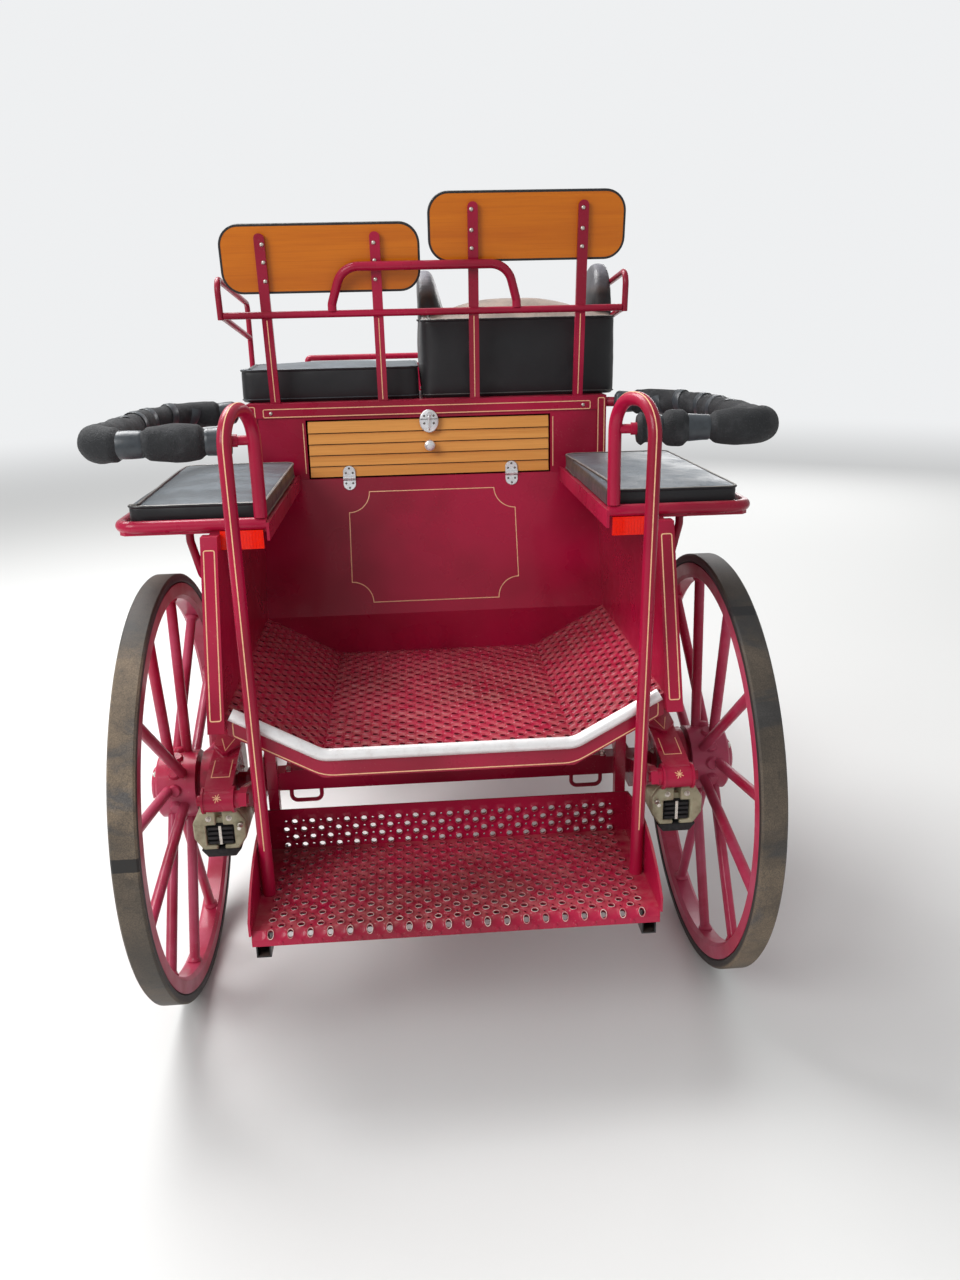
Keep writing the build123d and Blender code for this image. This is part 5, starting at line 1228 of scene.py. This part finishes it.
stripe_box(stripes, *RAIL_BOX, rail_y, BACKWARD)


# Grab hoops: a leg from the step, a round top and a leg on the seat, with the rail's stub
HOOP_R = 0.014
HOOP_FOOT = (0.400, -0.3027, 0.370)
# how far out the top of each hoop's outer leg stands
HOOP_TOP_X = {-1: 0.411, 1: 0.426}
HOOP_TOP = (-0.2582, 1.382)
HOOP_LEG = (0.375, -0.112)
HOOP_BEND = 0.072
SEAT_TOP = 1.155
RAIL_Z = 1.315
STUB_END = (0.408, -0.11555)


def hoop_line(side, low, seat_end):
    """Centre line of a hoop from a height on its outer leg to a height on its inner leg."""
    foot, top = Vector(HOOP_FOOT), Vector((HOOP_TOP_X[side], *HOOP_TOP))
    start = foot.lerp(top, (low - foot.z) / (top.z - foot.z))
    corners = (start, top, (*HOOP_LEG, HOOP_TOP[1]), (*HOOP_LEG, seat_end))
    return rounded_path([at(side * x, y, z) for x, y, z in corners], HOOP_BEND)


for side_name, side in SIDES:
    tube = Bag()
    tube.tube(hoop_line(side, HOOP_FOOT[2], SEAT_TOP), HOOP_R, 28, (0, 1, 0))
    tube.tube([at(side * x, y, RAIL_Z) for x, y in (HOOP_LEG, STUB_END)], 0.010, 20)
    tube = tube.make(f"hoop_{side_name}", "body_paint")
    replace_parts(tube, f"grab_hoop_{side_name}")
    x0, x1, z0, z1 = POST_BOX
    stripe_box(stripes, side * x0, side * x1, z0, z1, rail_y, BACKWARD, 0.003)
    stripes.stripe([at(side * 0.342, 0.572, z) for z in (1.145, 1.281)], BACKWARD, STRIPE_W)
    x0, x1, z0, z1 = PILLAR_BOX
    stripe_box(stripes, side * x0, side * x1, z0, z1, pillar_y, Vector((0, -PILLAR_RISE, PILLAR_RUN)))
    line = hoop_line(side, 0.478, 1.300)
    frames = carried_frames(line, BACKWARD)
    stripes.stripe([p + f[1] * HOOP_R for p, f in zip(line, frames)], [f[1] for f in frames], STRIPE_W)

# Raised handle on the cross bar behind the bench
BAR_Z = 1.562
BAR_R = 0.009
BAR_TOP = BAR_Z + BAR_R
HANDLE_R = 0.0115
HANDLE_FOOT_X = 0.2405
HANDLE_CORNERS = (-0.208, 0.214)
HANDLE_TOP_Z = BAR_Z + 0.113
handle_y = post_y(HANDLE_TOP_Z) - HANDLE_R - 0.007
line = [at(x, post_y(BAR_TOP), z) for x, z in ((-HANDLE_FOOT_X, BAR_TOP - 0.003), (-HANDLE_FOOT_X, BAR_TOP + 0.015))]
line += [at(x, handle_y, HANDLE_TOP_Z) for x in HANDLE_CORNERS]
line += [at(HANDLE_FOOT_X, post_y(BAR_TOP), z) for z in (BAR_TOP + 0.015, BAR_TOP - 0.003)]
handle = Bag()
handle.tube(rounded_path(line, (0.020, 0.058, 0.058, 0.020)), HANDLE_R, 24, (0, 1, 0))
handle = handle.make("handle", "body_paint")
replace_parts(handle, "back_handle")
for x in POST_XS:
    stripes.stripe([at(x, post_y(z), z) for z in (1.340, 1.549)], LEAN_BACK, STRIPE_W)
BAND_TOP = 0.010
BAND_LOW = 0.045
BAND_RADII = (0.09, 0.09, 0.006, 0.006, 0.03, 0.03, 0.006, 0.006)
band_xz = ((-WELL_HALF + 0.012, WING_Z - 0.0068), (-FLAT_HALF, FLOOR_Z), (FLAT_HALF, FLOOR_Z),
           (WELL_HALF - 0.012, WING_Z - 0.0068))
line = [at(x, FLOOR_REAR, z - BAND_LOW) for x, z in band_xz]
line += [at(x, FLOOR_REAR, z - BAND_TOP) for x, z in band_xz[::-1]]
stripes.stripe(rounded_path(line, BAND_RADII, True), BACKWARD, STRIPE_W, closed=True)

# Rear springs: three sides of a rectangle on the main leaf, a V on the next two, a star on the rear eye and a line on
# the arm
SPRING_X = 0.490
EYE_Y = -0.280
EYE_Z = 0.588
EYE_R = 0.025
LEAF_T = 0.008
LEAF_SAG = 0.042
LEAF_R = (EYE_Y ** 2 + LEAF_SAG ** 2) / (2 * LEAF_SAG)
LEAF_MID_Z = EYE_Z + EYE_R + LEAF_SAG - LEAF_R


def on_leaf(index, x, y):
    """A place and its outward direction on top of a leaf."""
    out = Vector((0, y, math.sqrt((LEAF_R + LEAF_T * index) ** 2 - y * y)))
    return at(x, out.y, LEAF_MID_Z + out.z), out.normalized()


def laid_stripe(spots, width):
    """A stripe through (place, outward direction) pairs."""
    stripes.stripe([place for place, _ in spots], [out for _, out in spots], width)


def leaf_line(index, side, corners):
    spots = []
    for (x0, y0), (x1, y1) in zip(corners, corners[1:]):
        spots += [(x0 + (x1 - x0) * k / 6, y0 + (y1 - y0) * k / 6) for k in range(6)]
    spots.append(corners[-1])
    laid_stripe([on_leaf(index, side * SPRING_X + x, y) for x, y in spots], STRIPE_W * 0.8)


def on_eye(side, x, run):
    """A place on the rear eye's drum, run measured round it from straight back."""
    turn = math.radians(33) + run / EYE_R
    out = Vector((0, -math.cos(turn), math.sin(turn)))
    return at(side * SPRING_X + x, EYE_Y, EYE_Z) + out * EYE_R, out


# corners of the lines on the three leaves, from the main leaf up
LEAF_LINES = (((-0.019, -0.186), (-0.019, -0.244), (0.019, -0.244), (0.019, -0.186)),
              ((-0.0150, -0.112), (0.0, -0.163), (0.0150, -0.112)),
              ((-0.020, -0.060), (0.0, -0.094), (0.020, -0.060)))
for side in (-1, 1):
    for index, corners in enumerate(LEAF_LINES):
        leaf_line(index, side, corners)
    for k in range(4):
        t = math.radians(22.5 + 45 * k)
        reach = 0.0100 if k % 2 else 0.0076
        laid_stripe([on_eye(side, reach * s * math.cos(t), reach * s * math.sin(t)) for s in (-1, -0.5, 0, 0.5, 1)],
                    0.0018)
    stripes.stripe([at(side * 0.438, -0.255, 0.6035), at(side * 0.438, -0.072, 0.5375)], (0, -0.339, 0.941), STRIPE_W)
stripes.make("stripes", "stripe", "body_paint", smooth=False)

# Bolts, screws and other small fittings of the carriage
fasteners = Bag()
# columns: post, heights of its three bolts
POST_BOLTS = ((-0.405, (1.731, 1.689, 1.644)), (-0.125, (1.731, 1.689, 1.644)),
              (0.124, (1.804, 1.756, 1.713)), (0.409, (1.804, 1.756, 1.713)))
for x, heights in POST_BOLTS:
    for z in heights:
        fasteners.dome(at(x, post_y(z), z), LEAN_BACK, 0.0054, 0.0040)
for x in (-0.425, 0.425):
    fasteners.dome(at(x, RAIL_Y, 1.31), BACKWARD, 0.005, 0.003)
# nuts on top of the rear axle
for side in (-1, 1):
    for x in (0.305, 0.377):
        for y in (-0.020, 0.020):
            fasteners.nut(at(side * x, y, 0.5285), (0, 0, 1), 0.0065, 0.007)
fasteners.make("fasteners", "worn_steel", "bright_steel")

# Hinges of the locker door: a leaf on the slope, a leaf on the door and the knuckles between
HINGE_X = (-0.225, 0.225)
HINGE_Y = 0.566
HINGE_Z = 1.131
HINGE_HALF = 0.017
HINGE_STRAIGHT = 0.010
HINGE_T = 0.003
KNUCKLE_R = 0.0055
KNUCKLE_HALF = 0.007
LEAF_TOP = 1.1225
DOOR_FACE_Y = 0.572
STRAP_FOOT = 1.136
down = Vector((0, -SLOPE, -1)).normalized()
hinge_leaves, hinge_straps, slope_screws, door_screws = Bag(), Bag(), Bag(), Bag()


def hinge_plate(bag, screws, foot, along, out):
    """Round-ended leaf with its three screws."""
    def outline(less, height):
        half = HINGE_HALF - less
        round_end = [(half * math.cos(t), HINGE_STRAIGHT + half * math.sin(t))
                     for t in (math.pi * k / 16 for k in range(17))]
        return [foot + Vector((x, 0, 0)) + along * r + out * height for x, r in [(-half, 0), (half, 0)] + round_end]
    bag.rings([outline(0, 0), outline(0, 0.0022), outline(0.0008, HINGE_T)])
    for x, r in ((-0.0095, 0.008), (0.0095, 0.008), (0, 0.0205)):
        screws.dome(foot + Vector((x, 0, 0)) + along * r + out * HINGE_T, out, 0.0030, 0.0014)


def knuckle(bag, x0, x1):
    bag.turned(at(x0, HINGE_Y, HINGE_Z), (1, 0, 0), [(KNUCKLE_R, 0), (KNUCKLE_R, x1 - x0)], 16)


for x in HINGE_X:
    foot = on_slope(x, LEAF_TOP)
    hinge_plate(hinge_leaves, slope_screws, foot, down, SLOPE_UP)
    hinge_plate(hinge_straps, door_screws, at(x, DOOR_FACE_Y, STRAP_FOOT), Vector((0, 0, 1)), BACKWARD)
    knuckle(hinge_leaves, x - KNUCKLE_HALF, x + KNUCKLE_HALF)
    web = [at(0, HINGE_Y - HINGE_T, HINGE_Z), at(0, HINGE_Y, HINGE_Z), foot - Vector((x, 0, 0)),
           foot - Vector((x, HINGE_T, 0))]
    hinge_leaves.rings([[place + Vector((a, 0, 0)) for place in web] for a in (x - KNUCKLE_HALF, x + KNUCKLE_HALF)])
    for side in (-1, 1):
        near, far = sorted((x + side * (KNUCKLE_HALF + 0.0002), x + side * HINGE_HALF))
        knuckle(hinge_straps, near, far)
        web = box_corners(HINGE_Y, DOOR_FACE_Y, STRAP_FOOT, STRAP_FOOT + HINGE_T)
        hinge_straps.rings([[at(a, y, z) for y, z in web] for a in (near, far)])
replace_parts(hinge_leaves.make("hinge_leaves", "plated", "bright_steel"), "door_hinges")
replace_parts(hinge_straps.make("hinge_straps", "plated", "bright_steel", body="locker_door"), "door_straps")
slope_screws.make("slope_screws", "screw_steel", "bright_steel")

# Latch, knob and the shadow lines of the locker door
LATCH = (0.5672, 1.2790)
latch = Bag()
dark = Bag()


def oval(half_x, half_z, y):
    return [at(half_x * math.cos(t), y, LATCH[1] + half_z * math.sin(t)) for t in round_turns(48)]


latch.rings([oval(0.0258, 0.0308, LATCH[0]), oval(0.0260, 0.0310, LATCH[0] - 0.0084),
             oval(0.0252, 0.0302, LATCH[0] - 0.0098), oval(0.0238, 0.0288, LATCH[0] - 0.0104)])
face = LATCH[0] - 0.0104
dark.prism(box_corners(-0.0240, 0.0240, 1.2838, 1.2856), face + 0.0005, face - 0.0003)
for z in (1.2935, 1.2735):
    for x in (-0.0130, 0.0130):
        door_screws.dome(at(x, face, z), BACKWARD, 0.0032, 0.0014)
# columns: radius and height of the keyhole's boss and of the knob; how far out and how high the hook's bends lie
BOSS = ((0.0066, 0), (0.0066, 0.0040), (0.0052, 0.0052), (0.0050, 0.0030), (0, 0.0030))
KNOB = ((0.0100, 0.0), (0.0078, 0.0030), (0.0078, 0.0100), (0.0146, 0.0124), (0.0149, 0.0200), (0.0132, 0.0248),
        (0.0100, 0.0268), (0, 0.0276))
HOOK = ((0.0030, 1.2960), (0.0062, 1.2920), (0.0066, 1.2780), (0.0056, 1.2600), (0.0010, 1.2560))
latch.turned(at(0, face + 0.001, 1.2985), BACKWARD, BOSS, 24)
latch.tube(rounded_path([at(0, face - out, z) for out, z in HOOK], 0.002), 0.0024, 10, (1, 0, 0))
latch.turned(at(0, 0.5722, 1.214), BACKWARD, KNOB, 32)
latch.make("door_latch", "plated", "bright_steel", body="locker_door")
dark.make("latch_slit", "black_steel", "bright_steel", body="locker_door", smooth=False)
door_screws.make("door_screws", "screw_steel", "bright_steel", body="locker_door")
shadow = Bag()
for k in range(1, 5):
    z = 1.134 + 0.030 * k
    shadow.stripe([at(-0.3295, 0.5783, z - 0.0012), at(0.3295, 0.5783, z - 0.0012)], Vector((0, -1, 0.233)), 0.0034,
                  0.0004)
shadow.make("slat_shadows", "black_steel", "varnished_wood", body="locker_door", smooth=False)

# Backrests: a rounded board and the black edging round it
BACKREST_HALF = (0.2525, 0.0825)
BACKREST_T = 0.016
BACKREST_CORNER = 0.050
BACKREST_EASE = 0.0015
EDGE_SECTION = ((0.0086, -0.0026), (0.0086, 0.0020), (0.0070, 0.0030), (-0.0070, 0.0030), (-0.0086, 0.0020),
                (-0.0086, -0.0026))
up = Vector((0, -LEAN, 1)).normalized()


def board_outline(middle, less, corner):
    """The board's outline, drawn in by a little, round a point."""
    x, z = BACKREST_HALF[0] - less, BACKREST_HALF[1] - less
    return rounded_path([middle + Vector((a, 0, 0)) + up * b for a, b in box_corners(-x, x, -z, z)], corner, True)


for side_name, cx, cz in (("left", -0.262, 1.697), ("right", 0.268, 1.765)):
    middle = at(cx, post_y(cz) + 0.014, cz) + LEAN_BACK * -0.008
    path = board_outline(middle, BACKREST_EASE, BACKREST_CORNER)
    rings = []
    for point, (_, side, other) in zip(path, carried_frames(path, LEAN_BACK, True)):
        other = other if other.dot(point - middle) > 0 else -other
        rings.append([point + side * a + other * b for a, b in EDGE_SECTION])
    board = Bag()
    board.rings([board_outline(middle + LEAN_BACK * (BACKREST_T / 2 - deep), less, BACKREST_CORNER - less)
                 for less, deep in ((BACKREST_EASE, 0), (0, BACKREST_EASE), (0, BACKREST_T - BACKREST_EASE),
                                    (BACKREST_EASE, BACKREST_T))])
    board = board.make(f"backrest_board_{side_name}", "varnished_wood", sharp_deg=30.0)
    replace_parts(board, f"backrest_{side_name}")
    edging = Bag()
    edging.rings(rings, True)
    edging.make(f"backrest_edge_{side_name}", "buffer_rubber")

# Brake calipers: two eased halves round a window, a black lower lip, ribs and fittings
CALIPER = (0.503, -0.196, 0.490)
CALIPER_BACK = -0.050
CALIPER_FLOOR = -0.036
CALIPER_FRONT = 0.050
SLOT_HALF = 0.007
HALF_OUTLINE = ((SLOT_HALF, -0.053), (0.0285, -0.053), (0.057, -0.0106), (0.057, 0.0265), (0.040, 0.053),
                (SLOT_HALF, 0.053))
# the window's edge, which is cut into each half's outline
NOTCH = ((SLOT_HALF, 0.020), (0.030, 0.020), (0.030, -0.028), (SLOT_HALF, -0.028))


def eased_prism(bag, outline, y0, y1, ease):
    """An outline in X and Z drawn along Y, with its edges rounded."""
    made = bmesh.new()
    floor = [made.verts.new(at(x, y0, z)) for x, z in outline]
    face = made.faces.new(floor)
    grown = bmesh.ops.extrude_face_region(made, geom=[face])["geom"]
    for vert in (v for v in grown if isinstance(v, bmesh.types.BMVert)):
        vert.co.y += y1 - y0
    bmesh.ops.recalc_face_normals(made, faces=made.faces)
    bmesh.ops.bevel(made, geom=made.edges[:], offset=ease, segments=3, profile=0.5, affect="EDGES", clamp_overlap=True)
    bag.form(*bmesh_form(made))


# columns: radius, height
SLIDE_PIN = ((0.0058, -0.002), (0.0058, 0.006), (0.0034, 0.008), (0.0034, 0.017), (0.0044, 0.018), (0.0044, 0.021))
BLEED_SCREW = ((0.006, -0.001), (0.006, 0.008), (0.0035, 0.010), (0.0035, 0.020))
halves, lips, pads, fittings = Bag(), Bag(), Bag(), Bag()
for side in (-1, 1):
    x, y, z = side * CALIPER[0], CALIPER[1], CALIPER[2]
    back = y + CALIPER_BACK
    for hand in (-1, 1):
        full = [(x + hand * a, z + b) for a, b in HALF_OUTLINE]
        eased_prism(halves, full, y + CALIPER_FLOOR, y + CALIPER_FRONT, 0.005)
        full += [(x + hand * a, z + b) for a, b in NOTCH]
        eased_prism(halves, full, back, y + CALIPER_FLOOR, 0.0042)
    bridge = box_corners(x - 0.017, x + 0.017, z - 0.033, z + 0.033)
    eased_prism(halves, bridge, y + CALIPER_FLOOR, y - 0.022, 0.002)
    arm = box_corners(side * 0.446, side * 0.460, 0.480, 0.500)
    eased_prism(halves, arm, y + 0.046, -0.0225, 0.002)
    lip = [(x + a, z + b) for a, b in ((-0.030, -0.054), (0.030, -0.054), (0.044, -0.036), (-0.044, -0.036))]
    eased_prism(lips, lip, back - 0.0035, y - 0.012, 0.003)
    pads.prism(box_corners(x - 0.0292, x + 0.0292, z - 0.004 - 0.0232, z - 0.004 + 0.0232), back + 0.0136,
               back + 0.0100)
    for k in range(4):
        low = z - 0.0262 + 0.0112 * k
        eased_prism(pads, box_corners(x - 0.027, x + 0.027, low, low + 0.0066), back + 0.0030, back + 0.0110, 0.0014)
    fittings.prism(box_corners(x - 0.003, x + 0.003, z - 0.026, z + 0.018), back + 0.0026, back + 0.0010)
    for a in (-0.022, 0.022):
        fittings.nut(at(x + a, back, z + 0.037), BACKWARD, 0.0048, 0.005)
    fittings.turned(at(x - side * 0.046, back - 0.001, z + 0.022), BACKWARD, SLIDE_PIN, 12)
    fittings.turned(at(x + side * 0.018, y - 0.005, z + 0.053), (0, 0, 1), BLEED_SCREW, 10)
caliper_halves = halves.make("caliper_halves", "cast_grey")
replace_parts(caliper_halves, "brake_calipers")
lips.make("caliper_lips", "buffer_rubber", "cast_grey")
pads.make("caliper_pads", "buffer_rubber")
fittings.make("caliper_fittings", "worn_steel", "bare_steel")

# Wheel fittings: spoke collars, hub bolts and the disc's screws
# columns: node, centre of the wheel, radius of the rim's inner face, whether it has a disc
WHEELS = (("rear_wheel_left", (-0.633, 0, REAR_R), 0.441, True),
          ("rear_wheel_right", (0.633, 0, REAR_R), 0.441, True),
          ("front_wheel_left", (-0.633, FRONT_AXLE_Y, FRONT_R), 0.341, False),
          ("front_wheel_right", (0.633, FRONT_AXLE_Y, FRONT_R), 0.341, False))
SPOKE_COUNT = 12
SPOKE_FIRST = 18
SPOKE_R = 0.012
NAVE_R = 0.078
NAVE_HALF = 0.046
# columns: radius, height
RIM_COLLAR = ((SPOKE_R + 0.0045, -0.002), (SPOKE_R + 0.0045, 0.003), (SPOKE_R + 0.002, 0.006), (SPOKE_R, 0.010))
NAVE_COLLAR = ((SPOKE_R + 0.0035, 0), (SPOKE_R + 0.003, 0.006), (SPOKE_R, 0.011))
HUB_CAP = ((0.014, -0.001), (0.014, 0.0008), (0.012, 0.0012), (0, 0.0012))


def wheel_spoke(degrees):
    """Direction in a wheel's plane, its angle measured from forward upwards."""
    t = math.radians(degrees)
    return Vector((0, math.cos(t), math.sin(t)))


for body, (x, y, z), rim_r, has_disc in WHEELS:
    hub = at(x, y, z)
    out = 1 if x > 0 else -1
    collars = Bag()
    for k in range(SPOKE_COUNT):
        along = wheel_spoke(SPOKE_FIRST + 360 / SPOKE_COUNT * k)
        collars.turned(hub + along * rim_r, -along, RIM_COLLAR, 20)
        collars.turned(hub + along * (NAVE_R - 0.002), along, NAVE_COLLAR, 20)
    collars.make(f"spoke_collars_{body}", "wheel_paint", body=body)
    bolts = Bag()
    for k in range(6):
        around = wheel_spoke(60 * k + 12)
        bolts.nut(hub + around * 0.060 + Vector((out * NAVE_HALF, 0, 0)), (out, 0, 0), 0.0068, 0.006)
        if has_disc:
            bolts.nut(hub + around * 0.052 - Vector((out * 0.1340, 0, 0)), (-out, 0, 0), 0.0060, 0.005)
    bolts.turned(hub + Vector((out * (NAVE_HALF + 0.0157), 0, 0)), (out, 0, 0), HUB_CAP, 24)
    bolts.make(f"hub_bolts_{body}", "worn_steel", "bright_steel", body=body)

# Upright ribs of the reflector lenses
LENS_X = (0.3745, 0.4595)
LENS_Z = (1.0915, 1.1265)
LENS_Y = -0.120
LENS_RIB = 0.0058
LENS_PITCH = 0.00651
lens_ribs = Bag()
for first in (-LENS_X[1], LENS_X[0]):
    for k in range(13):
        low = first + 0.0003 + LENS_PITCH * k
        lens_ribs.prism(box_corners(low, low + LENS_RIB, *LENS_Z), LENS_Y + 0.0005, LENS_Y - 0.0008)
lens_ribs.make("reflector_ribs", "reflector_red")

# Front: ribbed mat, tread strips on the toe board, and stripes on the box and the dash
BOX_HALF = 0.490
PLATE_Z = 0.868
MAT_HALF = 0.405
MAT_REAR = 0.975
MAT_FRONT = 1.475
MAT_T = 0.004
RIB_PITCH = 0.020
# columns: place and height of a rib's corners
MAT_RIB = ((0.006, MAT_T), (0.007, MAT_T + 0.0026), (0.013, MAT_T + 0.0026), (0.014, MAT_T))
section = [(MAT_REAR, PLATE_Z), (MAT_REAR, PLATE_Z + MAT_T)]
for k in range(int((MAT_FRONT - MAT_REAR) / RIB_PITCH)):
    y = MAT_REAR + RIB_PITCH * k
    section += [(y + a, PLATE_Z + h) for a, h in MAT_RIB]
section += [(MAT_FRONT, PLATE_Z + MAT_T), (MAT_FRONT, PLATE_Z)]
mat = Bag()
mat.rings([[at(x, y, z) for y, z in section] for x in (-MAT_HALF, MAT_HALF)])
mat.make("floor_mat", "mat_rubber", "buffer_rubber", sharp_deg=25.0)
TOE_LOW, TOE_HIGH = Vector((0, 1.591, 0.868)), Vector((0, 1.782, 1.016))
# columns: place along the toe board and height over it
TOE_ARC = ((-0.016, 0), (-0.015, 0.0024), (-0.008, 0.0040), (0, 0.0045), (0.008, 0.0040), (0.015, 0.0024), (0.016, 0))
toe_up = (TOE_HIGH - TOE_LOW).normalized()
toe_out = Vector((0, -toe_up.z, toe_up.y))
strips, strip_screws = Bag(), Bag()
for share in (0.22, 0.50, 0.78):
    foot = TOE_LOW.lerp(TOE_HIGH, share)
    strips.rings([[at(x, *(foot + toe_up * a + toe_out * h).yz) for a, h in TOE_ARC] for x in (-0.330, 0.330)])
    for x in (-0.300, 0, 0.300):
        strip_screws.dome(at(x, *(foot + toe_out * 0.0044).yz), toe_out, 0.0042, 0.0016)
strips.make("toe_strips", "nosing_metal")
strip_screws.make("toe_screws", "screw_steel", "bright_steel")
trim = Bag()
DASH_FOOT = (1.8, 1.010)
DASH_RUN = 0.025
DASH_RISE = 0.375
DASH_BOX = (-0.415, 0.415, 1.040, 1.352)
for side in (-1, 1):
    corners = [at(side * BOX_HALF, y, z) for y, z in box_corners(0.606, 0.926, 0.884, 1.300)]
    trim.stripe(rounded_path(corners, 0.004, True), (side, 0, 0), STRIPE_W, closed=True)
stripe_box(trim, *DASH_BOX, lambda z: DASH_FOOT[0] + (z - DASH_FOOT[1]) * DASH_RUN / DASH_RISE,
           Vector((0, DASH_RISE, -DASH_RUN)))
trim.make("front_stripes", "stripe", "body_paint", smooth=False)
